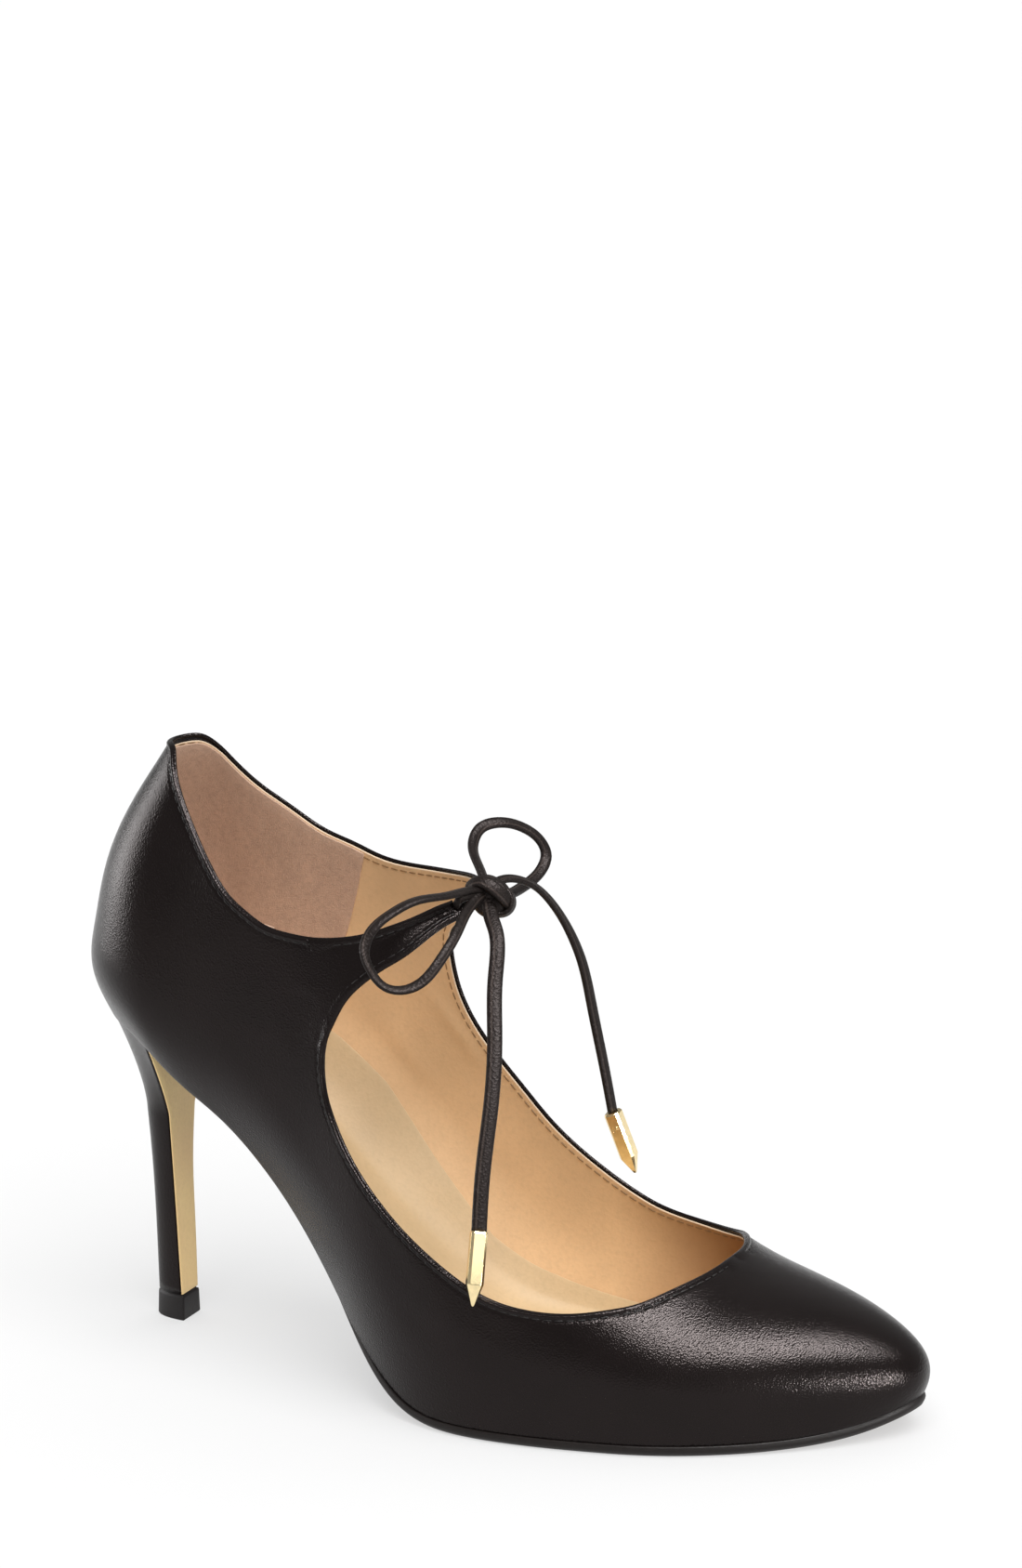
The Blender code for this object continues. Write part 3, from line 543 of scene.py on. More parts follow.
def tube(path, wide, thick, looks, closed=False):
    """Folded lace carried along a path, with flat ends unless it closes on itself.

    Each ring is a rounded oval across the path's tangent, wide by thick, whose flat face looks along
    looks, one way or one for each point. A narrow bell dents that face beside its middle, where the
    strip's edges meet. Returns points, faces and each point's texture place: length along, share round.
    """
    path = np.asarray(path, float)
    if closed:
        tangent = unit(np.roll(path, -1, axis=0) - np.roll(path, 1, axis=0))
    else:
        tangent = unit(np.gradient(path, axis=0))
    looks = np.broadcast_to(np.asarray(looks, float), path.shape)
    first = unit(looks - tangent * (tangent * looks).sum(1)[:, None])
    second = np.cross(tangent, first)
    turn = np.linspace(0, 2 * np.pi, CORD_SIDES, endpoint=False)
    away = np.abs((turn - SEAM_TURN + np.pi) % (2 * np.pi) - np.pi)
    size = 1 - SEAM_DENT * np.exp(-((away / SEAM_WIDTH) ** 2))
    up = np.sign(np.cos(turn)) * np.abs(np.cos(turn)) ** CORD_SQUARE * size * thick / 2
    side = np.sign(np.sin(turn)) * np.abs(np.sin(turn)) ** CORD_SQUARE * size * wide / 2
    rings = path[:, None] + first[:, None] * up[None, :, None] + second[:, None] * side[None, :, None]
    count = len(path)
    index = np.arange(count * CORD_SIDES).reshape(count, CORD_SIDES)
    ahead = np.roll(index, -1, axis=0) if closed else index[1:]
    here = index if closed else index[:-1]
    faces = ring_quads(here, ahead).tolist()
    if not closed:
        faces += [index[0, ::-1].tolist(), index[-1].tolist()]
    place = np.stack([np.repeat(lengths_along(path), CORD_SIDES), np.tile(turn / (2 * np.pi), count)], -1)
    return rings.reshape(-1, 3), faces, place


def breast_numbers(count):
    """Numbers of the points along the breast of a heel's ring, from the arc's end to its start."""
    return [*range(HEEL_ARC_STEPS, count), 0]


def rings_mesh(rings):
    """Faces round a stack of the heel's rings, closed at both ends by strips from side to side."""
    levels, count = rings.shape[:2]
    index = np.arange(levels * count).reshape(levels, count)
    quads = ring_quads(index[:-1], index[1:])
    j = np.arange(HEEL_ARC_STEPS // 2)
    strips = np.stack([j, j + 1, HEEL_ARC_STEPS - j - 1, HEEL_ARC_STEPS - j], -1)
    breast = breast_numbers(count)
    top = (levels - 1) * count
    faces = quads.tolist() + strips[:, ::-1].tolist() + (strips + top).tolist()
    faces += [breast[::-1], [top + k for k in breast]]
    return rings.reshape(-1, 3), faces


def polygons(quads):
    """Faces as lists, with the doubled corner of a collapsed face left out."""
    doubled = quads == np.roll(quads, 1, axis=1)
    whole = quads[~doubled.any(1)].tolist()
    three = quads[doubled.any(1)]
    return whole + three[~doubled[doubled.any(1)]].reshape(-1, 3).tolist()


def make_piece(name, points, faces, material, place=None, raw=None):
    """Put points in millimetres into a smooth mesh that rides on the shoe.

    Place is a texture place for each point, and raw marks the points of a cut edge.
    """
    mesh = bpy.data.meshes.new(name)
    faces = polygons(faces) if isinstance(faces, np.ndarray) else faces
    mesh.from_pydata(((points - ORIGIN) * MM).tolist(), [], faces)
    mesh.shade_smooth()
    if place is not None:
        corner = np.empty(len(mesh.loops), dtype=np.int32)
        mesh.loops.foreach_get("vertex_index", corner)
        layer = mesh.uv_layers.new(name="place")
        layer.uv.foreach_set("vector", place[corner].astype(np.float32).ravel())
    if raw is not None:
        mesh.attributes.new("raw_edge", "FLOAT", "POINT").data.foreach_set("value", raw.astype(np.float32))
    mesh.materials.append(material)
    piece = bpy.data.objects.new(name, mesh)
    bpy.context.scene.collection.objects.link(piece)
    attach(piece, BODY)
    return piece


def length_property(name, description, default):
    """Length setting in metres."""
    return bpy.props.FloatProperty(name=name, description=description, default=default, min=0.0,
                                   unit="LENGTH", subtype="DISTANCE", precision=5)


def colour_property(name, description, default):
    """Colour setting, in linear light."""
    return bpy.props.FloatVectorProperty(name=name, description=description, default=default, size=3,
                                         min=0.0, max=1.0, subtype="COLOR")


class PumpSizes(bpy.types.PropertyGroup):
    """Sizes of the pump's finish"""

    leather: length_property("Leather", "Thickness of the outer leather", 0.0010)
    lining: length_property("Lining", "Thickness of the lining", 0.0005)
    fold: length_property("Folded edge", "Black edge that shows above the lining", 0.0009)
    back_fold: length_property("Folded edge at the back", "How much wider it is at the back seam", 0.0012)
    bead: length_property("Edge bead", "How far the folded edge stands above the leather", 0.00045)
    stitch_inset: length_property("Stitch inset", "Distance of the outer stitches from the edge", 0.0018)
    lining_stitch_inset: length_property("Lining stitch inset", "Distance of the inner stitches", 0.0021)
    stitch_pitch: length_property("Stitch pitch", "Distance from stitch to stitch", 0.0027)
    stitch_length: length_property("Stitch length", "Length of one stitch", 0.0021)
    thread: length_property("Thread", "Thickness of the thread", 0.00040)
    cord: length_property("Cord", "Width of the lace", 0.0034)
    cord_thick: length_property("Cord thickness", "Thickness of the lace", 0.0019)
    aglet: length_property("Aglet", "Width of the metal tips", 0.0047)


class PumpColours(bpy.types.PropertyGroup):
    """Colours of the pump"""

    leather: colour_property("Leather", "Black outer leather", (0.0060, 0.0043, 0.0041))
    lining: colour_property("Lining", "Tan lining leather", (0.74, 0.50, 0.28))
    suede: colour_property("Heel grip", "Suede inside the heel", (0.54, 0.36, 0.26))
    insole: colour_property("Insole", "Pale tan sock", (0.565, 0.415, 0.235))
    breast: colour_property("Heel breast", "Leather on the front of the heel", (1.0, 0.68, 0.32))
    sole: colour_property("Sole", "Leather under the sole", (0.13, 0.085, 0.055))
    sole_edge: colour_property("Sole edge", "Inked edge of the sole", (0.010, 0.0075, 0.0068))
    lift: colour_property("Lift", "Rubber under the heel", (0.010, 0.008, 0.008))
    cord: colour_property("Cord", "Folded leather of the lace", (0.0075, 0.0055, 0.0048))
    gilt: colour_property("Gilt", "Metal of the aglets", (0.93, 0.76, 0.43))
    thread: colour_property("Thread", "Thread on the outside", (0.010, 0.008, 0.0075))
    lining_thread: colour_property("Lining thread", "Thread on the lining", (0.24, 0.135, 0.06))


class Nodes:
    """Short way to write a material's node tree."""

    def __init__(self, name):
        self.material = bpy.data.materials.new(name)
        self.material.use_nodes = True
        self.tree = self.material.node_tree
        self.shader = self.tree.nodes["Principled BSDF"]

    def add(self, kind, **settings):
        """New node with its attributes set."""
        node = self.tree.nodes.new(kind)
        for name, value in settings.items():
            setattr(node, name, value)
        return node

    def link(self, source, target):
        """Link an output socket to an input socket."""
        self.tree.links.new(source, target)

    def place(self, scale=(1.0, 1.0, 1.0)):
        """Coordinates of the piece, stretched by scale."""
        coordinates = self.add("ShaderNodeTexCoord")
        mapping = self.add("ShaderNodeMapping")
        mapping.inputs["Scale"].default_value = scale
        self.link(coordinates.outputs["Object"], mapping.inputs["Vector"])
        return mapping.outputs["Vector"]

    def parts(self, vector):
        """Outputs X, Y and Z of a vector."""
        node = self.add("ShaderNodeSeparateXYZ")
        self.link(vector, node.inputs["Vector"])
        return node.outputs

    def noise(self, place, scale, detail=3.0, roughness=0.5):
        """Noise of a given scale, as a factor."""
        node = self.add("ShaderNodeTexNoise")
        node.inputs["Scale"].default_value = scale
        node.inputs["Detail"].default_value = detail
        node.inputs["Roughness"].default_value = roughness
        self.link(place, node.inputs["Vector"])
        return node.outputs["Fac"]

    def cells(self, place, scale):
        """Square of the distance to the cells of a Voronoi pattern, so that their middles are smooth."""
        node = self.add("ShaderNodeTexVoronoi")
        node.inputs["Scale"].default_value = scale
        self.link(place, node.inputs["Vector"])
        square = self.add("ShaderNodeMath", operation="MULTIPLY")
        self.link(node.outputs["Distance"], square.inputs[0])
        self.link(node.outputs["Distance"], square.inputs[1])
        return square.outputs["Value"]

    def spread(self, factor, low, high, start=0.0, end=1.0):
        """Stretch of a factor between start and end to the values low and high."""
        node = self.add("ShaderNodeMapRange")
        node.inputs["From Min"].default_value = start
        node.inputs["From Max"].default_value = end
        node.inputs["To Min"].default_value = low
        node.inputs["To Max"].default_value = high
        self.link(factor, node.inputs["Value"])
        return node.outputs["Result"]

    def blend(self, factor, first, second):
        """Mix of two colours, each a tuple or a socket."""
        node = self.add("ShaderNodeMix", data_type="RGBA")
        self.link(factor, node.inputs["Factor"])
        for socket, value in ((node.inputs["A"], first), (node.inputs["B"], second)):
            if isinstance(value, bpy.types.NodeSocket):
                self.link(value, socket)
            else:
                socket.default_value = (*value, 1.0)
        return node.outputs["Result"]

    def mottle(self, factor, colour, dark, light, start=0.3, end=0.7):
        """Colour that goes from a darker to a lighter tint as a factor rises from start to end."""
        share = self.spread(factor, 0.0, 1.0, start, end)
        return self.blend(share, tinted(colour, dark), tinted(colour, light))

    def bump(self, height, strength, distance, normal=None):
        """Bump from a height, on top of an earlier one."""
        node = self.add("ShaderNodeBump")
        node.inputs["Strength"].default_value = strength
        node.inputs["Distance"].default_value = distance
        self.link(height, node.inputs["Height"])
        if normal is not None:
            self.link(normal, node.inputs["Normal"])
        return node.outputs["Normal"]

    def set(self, **values):
        """Set or link inputs of the shader; a double underscore stands for a space."""
        for name, value in values.items():
            socket = self.shader.inputs[name.replace("__", " ")]
            if isinstance(value, bpy.types.NodeSocket):
                self.link(value, socket)
            else:
                socket.default_value = value
        return self.material


RAW_EDGE = (0.70, 0.53, 0.37)
CORD_SEAM = (0.035, 0.026, 0.022)
SHEEN_TINT = (1.0, 0.87, 0.85, 1.0)
FLOOR_TONES = ((0.27, 0.27, 0.27), (0.29, 0.29, 0.29))
# Painted shade deep in the lining's toe: power of its gain in each colour, and where it sets in, in metres
TOE_SHADE_POWERS = (1.0, 1.6, 2.35)
TOE_SHADE_FADE = (0.015, 0.055)


def tinted(colour, gain):
    """Colour made lighter or darker."""
    return tuple(min(1.0, part * gain) for part in colour)


def black_leather(colour):
    """Smooth calf: fine pebble grain, faint cloudiness and uneven gloss."""
    n = Nodes("black calf")
    place = n.place()
    cloud = n.noise(place, 60.0, 4.0)
    grain = n.cells(place, 2300.0)
    fine = n.noise(place, 5200.0, 2.0)
    tone = n.mottle(cloud, colour, 0.85, 1.25)
    rough = n.spread(n.noise(place, 420.0, 3.0), 0.18, 0.26)
    normal = n.bump(grain, 0.23, 0.0003)
    normal = n.bump(fine, 0.06, 0.0002, normal)
    normal = n.bump(cloud, 0.08, 0.0006, normal)
    return n.set(Base__Color=tone, Roughness=rough, Normal=normal, Specular__IOR__Level=0.18,
                 Specular__Tint=SHEEN_TINT)


def tan_leather(name, colour, rough_low, rough_high, toe_shade=1.0):
    """Undyed leather: warm clouds, small pores, a dry surface, a paler cut edge and, below a toe_shade of
    one, painted shade that darkens it towards the toe.
    """
    n = Nodes(name)
    place = n.place()
    cloud = n.noise(place, 38.0, 4.0)
    pores = n.cells(place, 1300.0)
    tone = n.mottle(cloud, colour, 0.88, 1.10, 0.3, 0.72)
    fleck = n.noise(place, 900.0, 2.0)
    tone = n.blend(n.spread(fleck, 0.0, 0.22, 0.45, 0.75), tone, tinted(colour, 0.72))
    # Painted shade: the colour darkens and turns a deeper brown towards the toe, standing in for the shade
    # inside the toe box
    if toe_shade < 1.0:
        deep = tuple(part * toe_shade**power for part, power in zip(colour, TOE_SHADE_POWERS))
        tone = n.blend(n.spread(n.parts(place)["X"], 0.0, 1.0, *TOE_SHADE_FADE), tone, deep)
    raw = n.add("ShaderNodeAttribute", attribute_name="raw_edge")
    tone = n.blend(raw.outputs["Fac"], tone, RAW_EDGE)
    rough = n.spread(cloud, rough_low, rough_high, 0.3, 0.7)
    normal = n.bump(pores, 0.12, 0.0002)
    normal = n.bump(fleck, 0.10, 0.0003, normal)
    return n.set(Base__Color=tone, Roughness=rough, Normal=normal, Specular__IOR__Level=0.35)


def suede(colour):
    """Napped leather: mottled by strokes, with a short fuzz and sheen."""
    n = Nodes("heel grip suede")
    place = n.place()
    strokes = n.noise(n.place((1.0, 1.0, 0.35)), 150.0, 5.0, 0.65)
    nap = n.noise(place, 2600.0, 3.0, 0.7)
    specks = n.noise(place, 800.0, 3.0, 0.6)
    tone = n.mottle(strokes, colour, 0.86, 1.10)
    tone = n.blend(n.spread(specks, 0.0, 0.6, 0.42, 0.68), tone, tinted(colour, 0.72))
    tone = n.blend(n.spread(nap, 0.0, 0.5, 0.35, 0.75), tone, tinted(colour, 1.3))
    normal = n.bump(nap, 0.5, 0.0004)
    normal = n.bump(strokes, 0.15, 0.0006, normal)
    return n.set(Base__Color=tone, Roughness=0.95, Normal=normal, Sheen__Weight=0.25, Sheen__Roughness=0.5,
                 Specular__IOR__Level=0.15)


def sole_leather(face, edge):
    """Sole: brown where it faces straight down, inked and waxed on its edge and on the sloping waist."""
    n = Nodes("sole leather")
    place = n.place()
    normals = n.add("ShaderNodeNewGeometry").outputs["True Normal"]
    cloud = n.noise(place, 45.0, 4.0)
    under = n.mottle(cloud, face, 0.85, 1.1)
    ink = n.blend(n.noise(place, 700.0), tinted(edge, 0.8), tinted(edge, 1.6))
    facing = n.spread(n.parts(normals)["Z"], 1.0, 0.0, -0.93, -0.85)
    tone = n.blend(facing, ink, under)
    fibres = n.noise(n.place((1.0, 1.0, 6.0)), 900.0, 3.0)
    normal = n.bump(fibres, 0.18, 0.0003)
    rough = n.spread(fibres, 0.38, 0.55)
    return n.set(Base__Color=tone, Roughness=rough, Normal=normal, Specular__IOR__Level=0.2)


def lift_rubber(colour):
    """Moulded rubber: dull, with a sandy skin."""
    n = Nodes("lift rubber")
    place = n.place()
    sand = n.noise(place, 3000.0, 2.0)
    tone = n.blend(n.noise(place, 250.0), tinted(colour, 0.85), tinted(colour, 1.3))
    return n.set(Base__Color=tone, Roughness=n.spread(sand, 0.48, 0.66), Normal=n.bump(sand, 0.12, 0.0002),
                 Specular__IOR__Level=0.28)


def cord_leather(colour):
    """Folded leather lace: its seam line is paler, its skin grained and unevenly worn."""
    n = Nodes("folded lace")
    round_share = n.parts(n.add("ShaderNodeUVMap", uv_map="place").outputs["UV"])["Y"]
    turn = n.add("ShaderNodeMath", operation="PINGPONG")
    turn.inputs[1].default_value = 0.5
    shift = n.add("ShaderNodeMath", operation="SUBTRACT")
    shift.inputs[1].default_value = SEAM_TURN / (2 * math.pi)
    n.link(round_share, shift.inputs[0])
    n.link(shift.outputs["Value"], turn.inputs[0])
    seam = n.spread(turn.outputs["Value"], 1.0, 0.0, 0.012, 0.035)
    place = n.place()
    worn = n.noise(place, 500.0, 4.0, 0.6)
    tone = n.mottle(worn, colour, 0.8, 1.6, 0.35)
    tone = n.blend(seam, tone, CORD_SEAM)
    grain = n.cells(place, 1700.0)
    normal = n.bump(grain, 0.3, 0.0003)
    normal = n.bump(worn, 0.2, 0.0004, normal)
    rough = n.spread(worn, 0.36, 0.56)
    return n.set(Base__Color=tone, Roughness=rough, Normal=normal, Specular__IOR__Level=0.18,
                 Specular__Tint=SHEEN_TINT)


def gilt_metal(colour):
    """Polished gilt: brushed faintly along, with small dull spots."""
    n = Nodes("gilt")
    place = n.place()
    spots = n.noise(place, 700.0, 3.0)
    brushed = n.noise(n.place((1.0, 1.0, 0.08)), 2500.0, 2.0)
    tone = n.mottle(spots, colour, 0.92, 1.05, 0.35)
    return n.set(Base__Color=tone, Metallic=1.0, Roughness=n.spread(spots, 0.12, 0.24),
                 Normal=n.bump(brushed, 0.04, 0.0002))


def sewing_thread(name, colour):
    """Sewing thread: fine fibres that make it uneven in tone and surface."""
    n = Nodes(name)
    fibres = n.noise(n.place(), 4000.0, 2.0)
    tone = n.blend(fibres, tinted(colour, 0.8), tinted(colour, 1.3))
    return n.set(Base__Color=tone, Roughness=0.5, Normal=n.bump(fibres, 0.3, 0.0002),
                 Specular__IOR__Level=0.3)


def studio_floor():
    """Plain table lit from within, with the faintest unevenness."""
    n = Nodes("studio floor")
    tone = n.blend(n.noise(n.place(), 3.0), *FLOOR_TONES)
    return n.set(Base__Color=tone, Roughness=0.9, Specular__IOR__Level=0.1,
                 Emission__Color=(1.0, 1.0, 1.0, 1.0), Emission__Strength=FLOOR_GLOW)


# Points measured at a time, the girth that counts as the feather, and the groove along the stitches:
# its depth as a share of the bead's height, and its width
BLOCK = 400
FEATHER_GIRTH = 0.05
GROOVE_SHARE = 0.6
GROOVE_WIDTH = 0.35


def edge_distance(points, edge):
    """Distance of each point from the nearest point of an edge, worked out in blocks."""
    blocks = [np.linalg.norm(part[:, None] - edge[None], axis=-1).min(1)
              for part in np.array_split(points, max(1, len(points) // BLOCK))]
    return np.concatenate(blocks)


def folded_edge(points, quads, normals, girths, bead, inset):
    """Raise the turned edge of the leather and sink a groove along its stitches.

    The rise is half an ellipse from the edge to the stitches, and the groove a narrow bell about the
    stitch line. Distances are from the open edges off the feather.
    """
    edges = np.unique(open_edges(quads, len(points)))
    edge = points[edges[girths[edges] > FEATHER_GIRTH]]
    away = edge_distance(points, edge)
    rise = bead * np.sqrt(np.clip(1 - (2 * away / inset - 1) ** 2, 0, 1))
    groove = GROOVE_SHARE * bead * np.exp(-(((away - inset) / GROOVE_WIDTH) ** 2))
    return points + normals * (rise - groove)[:, None]


# Creases: side, route as station and girth, width and depth; pulls at the keyhole and in the lining
LEATHER_CREASES = (
    (-1, ((77.3, 0.502), (71.5, 0.476), (66.4, 0.448)), 1.0, 0.26),
    (-1, ((77.0, 0.490), (71.0, 0.459), (65.4, 0.428)), 1.0, 0.32),
    (-1, ((76.8, 0.478), (71.3, 0.446), (66.0, 0.414)), 0.9, 0.32),
    (-1, ((76.3, 0.464), (71.7, 0.434), (67.3, 0.404)), 0.9, 0.26),
    (-1, ((75.9, 0.450), (72.3, 0.424), (68.9, 0.398)), 0.9, 0.20),
    (-1, ((92.0, 0.372), (104.0, 0.352), (117.0, 0.345)), 3.5, 0.20),
    (-1, ((96.0, 0.330), (110.0, 0.305), (124.0, 0.300)), 4.0, 0.20),
    (-1, ((118.0, 0.375), (128.0, 0.365), (140.0, 0.375)), 3.0, 0.15),
)
LINING_CREASES = (
    (1, ((76.9, 0.430), (85.3, 0.428), (92.3, 0.416)), 2.2, 0.35),
    (1, ((62.6, 0.328), (70.0, 0.314), (79.5, 0.304)), 2.6, 0.35),
)
CREASE_STEPS = 40
CREASE_REACH = 4


def creased(points, normals, creases):
    """Press soft troughs into a sheet along given routes.

    The depth falls away as a bell across a route, and along it as a half sine a little longer than it.
    """
    depth = np.zeros(len(points))
    for side, rows, width, deep in creases:
        params = curve_points(rows, CREASE_STEPS, GIRTH_STRETCH)
        route = last_point(params[:, 0], params[:, 1], side)
        reach = CREASE_REACH * width
        close = ((points > route.min(0) - reach) & (points < route.max(0) + reach)).all(1)
        away = np.linalg.norm(points[close, None] - route[None], axis=-1)
        taper = np.sin(np.pi * (away.argmin(1) + 2.0) / (len(route) + 3.0))
        depth[close] += deep * taper * np.exp(-((away.min(1) / width) ** 2))
    return points - normals * depth[:, None]


class PUMP_OT_upper(bpy.types.Operator):
    """Outer leather with its folded edges"""

    bl_idname = "pump.upper"
    bl_label = "Upper"

    def execute(self, context):
        sizes = context.scene.pump_sizes
        half = sizes.leather / MM / 2
        points, quads, normals, girths = upper_sheet(half)
        inset = sizes.stitch_inset / MM - half
        points = folded_edge(points, quads, normals, girths, sizes.bead / MM, inset)
        points = creased(points, normals, LEATHER_CREASES)
        points, quads = shell(points, quads, 0.0, 2 * half, round_rim(half), normals)
        leather = black_leather(context.scene.pump_colours.leather)
        piece = make_piece("upper_leather", points, quads, leather)
        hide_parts("upper")
        return {"FINISHED"}


# The grip's front edge as station and girth, its rows, the share of the collar's girth where it starts,
# and how far past the front edge the collar is read
GRIP_FRONT = ((30.0, 0.0), (40.0, 0.20), (49.0, 0.32), (56.0, 0.40), (60.0, 0.48), (63.5, 0.56))
GRIP_ROWS = 30
GRIP_FOOT = 0.02
GRIP_SPARE = 0.5


def grip_sheet(inset, at_back):
    """Sheet inside the heel from the seat to the collar, its front edge leaning towards the toe."""
    points, quads = [], []
    count = 0
    front = np.array(GRIP_FRONT, float)
    for side in (-1, 1):
        top = moved_top(side, inset, at_back)
        top = top[top[:, 0] < front[-1, 0] + GRIP_SPARE]
        rise = np.linspace(GRIP_FOOT, 1, GRIP_ROWS + 1)
        girth = top[:, 1:] * rise
        reach = np.interp(girth, front[:, 1], front[:, 0]) / top[-1, 0]
        station = top[:, :1] * reach
        quads.append(grid_quads(*station.shape, side > 0) + count)
        points.append(last_point(station, girth, side).reshape(-1, 3))
        count += station.size
    points, quads, _ = weld(np.concatenate(points), np.concatenate(quads))
    return points, quads


# The lining: its gap to the leather, and the gain of the painted shade that darkens its toe
LINING_GAP = 0.02
LINING_TOE_SHADE = 0.43
# The grip: how far below the lining's edge it ends, how far it sinks into the lining, and its thickness
GRIP_INSET = 0.35
GRIP_SINK = 0.05
GRIP_THICK = 0.4


class PUMP_OT_lining(bpy.types.Operator):
    """Tan lining and the suede grip at the heel"""

    bl_idname = "pump.lining"
    bl_label = "Lining"

    def execute(self, context):
        sizes = context.scene.pump_sizes
        colours = context.scene.pump_colours
        depth = sizes.leather / MM
        deep = depth + sizes.lining / MM
        points, quads, normals, _ = upper_sheet(sizes.fold / MM, sizes.back_fold / MM)
        points = creased(points, normals, LINING_CREASES)
        faces = 2 * len(points)
        rim = round_rim(sizes.lining / MM / 2)
        points, quads = shell(points, quads, -depth - LINING_GAP, deep, rim, normals)
        # The lining's toe carries painted shade
        leather = tan_leather("lining leather", colours.lining, 0.55, 0.7, LINING_TOE_SHADE)
        raw = np.arange(len(points)) >= faces
        make_piece("upper_lining", points, quads, leather, raw=raw)
        points, quads = grip_sheet(sizes.fold / MM + GRIP_INSET, sizes.back_fold / MM)
        rim = round_rim(GRIP_THICK / 2)
        points, quads = shell(points, quads, -deep + GRIP_SINK, deep + GRIP_THICK, rim)
        make_piece("heel_grip", points, quads, suede(colours.suede))
        return {"FINISHED"}


# A stitch's rings: share of its length and of its thickness
STITCH_RINGS = np.array(((-0.5, 0.35), (-0.36, 1.0), (0.0, 1.15), (0.36, 1.0), (0.5, 0.35)))
STITCH_SIDES = 5
# Depth of the outer stitches under the last and of the inner ones past the lining, and a step ahead
EDGE_STITCH_DEPTH = 0.12
LINING_STITCH_DEPTH = 0.02
STITCH_AHEAD = 0.4


def stitch_row(centres, tangents, normals, length, thickness):
    """Many small stitches as one mesh: each is a short rod, thickest in the middle, along its seam."""
    turn = np.linspace(0, 2 * np.pi, STITCH_SIDES, endpoint=False)
    across = np.cross(normals, tangents)
    circle = np.cos(turn)[None, :, None] * across[:, None] + np.sin(turn)[None, :, None] * normals[:, None]
    along, size = (STITCH_RINGS * (length, thickness / 2)).T[:, None, :, None, None]
    rings = centres[:, None, None] + tangents[:, None, None] * along + circle[:, None] * size
    levels = len(STITCH_RINGS)
    index = np.arange(levels * STITCH_SIDES).reshape(levels, STITCH_SIDES)
    quads = ring_quads(index[:-1], index[1:])
    starts = np.arange(len(centres)) * levels * STITCH_SIDES
    faces = (quads[None] + starts[:, None, None]).reshape(-1, 4).tolist()
    faces += (index[0, ::-1][None] + starts[:, None]).tolist()
    faces += (index[-1][None] + starts[:, None]).tolist()
    return rings.reshape(-1, 3), faces


def seam(edge, side, inset, depth, pitch):
    """Stitch places along an edge: centre, direction and outward normal of each."""
    params = move_in(edge, side, inset)
    point, _, _, normal = last_frame(params, side)
    line = point - normal * depth
    along = lengths_along(line)
    spots = np.arange(pitch, along[-1] - pitch / 2, pitch)
    centres = between(spots, along, line)
    ahead = between(spots + STITCH_AHEAD, along, line)
    return centres, unit(ahead - centres), unit(between(spots, along, normal))


class PUMP_OT_stitches(bpy.types.Operator):
    """Stitches along the edges, outside and on the lining"""

    bl_idname = "pump.stitches"
    bl_label = "Stitches"

    def execute(self, context):
        sizes = context.scene.pump_sizes
        colours = context.scene.pump_colours
        thread = sizes.thread / MM
        inside = (sizes.leather + sizes.lining) / MM
        rows = (
            ("edge_stitches", sizes.stitch_inset / MM, EDGE_STITCH_DEPTH, "black_leather",
             sewing_thread("black thread", colours.thread)),
            ("lining_stitches", sizes.lining_stitch_inset / MM, inside + LINING_STITCH_DEPTH, "tan_leather",
             sewing_thread("brown thread", colours.lining_thread)),
        )
        for name, inset, depth, slot, material in rows:
            seams = [seam(edge(side), side, inset, depth, sizes.stitch_pitch / MM)
                     for side in (-1, 1) for edge in (top_edge, keyhole_edge)]
            centres, tangents, normals = (np.concatenate(part) for part in zip(*seams))
            points, faces = stitch_row(centres, tangents, normals, sizes.stitch_length / MM, thread)
            make_piece(name, points, faces, material)
        return {"FINISHED"}


def feather_line(stations, side, out):
    """Feather line moved outward in plan by the distances in out."""
    line = last_point(stations, np.zeros_like(stations), side)
    way = unit(np.gradient(line[:, :2], axis=0))
    normal = np.stack([-way[:, 1], way[:, 0]], -1) * side
    normal[np.isclose(stations, TOE)] = (1.0, 0.0)
    normal[np.isclose(stations, 0.0)] = (-1.0, 0.0)
    moved = line.copy()
    moved[:, :2] += normal * np.asarray(out)[:, None]
    return moved


def sole_sheet(stations, out, rows):
    """Sheet of straight lines from the outer to the inner feather line."""
    outer = feather_line(stations, -1, out)
    inner = feather_line(stations, 1, out)
    share = np.linspace(0, 1, rows + 1)[None, :, None]
    grid = outer[:, None] + (inner - outer)[:, None] * share
    points, quads, _ = weld(grid.reshape(-1, 3), grid_quads(len(stations), rows + 1, False))
    return points, quads


FOREPART = 150.0
# The sole grows from waist to forepart over one stretch, and is trimmed towards the toe over another
FORWARD_FROM = 60.0
FORWARD_OVER = 45.0
TRIM_FROM = 185.0
TRIM_OVER = 30.0
SOLE_STEPS = 90
SOLE_TOE_STEPS = 60
SOLE_ROWS = 28
SOLE_PROUD = 0.4
SOLE_WAIST_INSET = 1.6
SOLE_TOE_INSET = 0.5
WAIST_THICK = 1.2
SOLE_THICK = 2.75
# The sole's rim, upright above and rounded under: share of its half thickness and reach
SOLE_RIM = ((1.0, 1.2), (0.93, 1.42), (0.8, 1.5), (0.3, 1.5), (-0.1, 1.36), (-0.45, 1.0), (-0.75, 0.45))
SOLE_RIM_REACH = 1.5

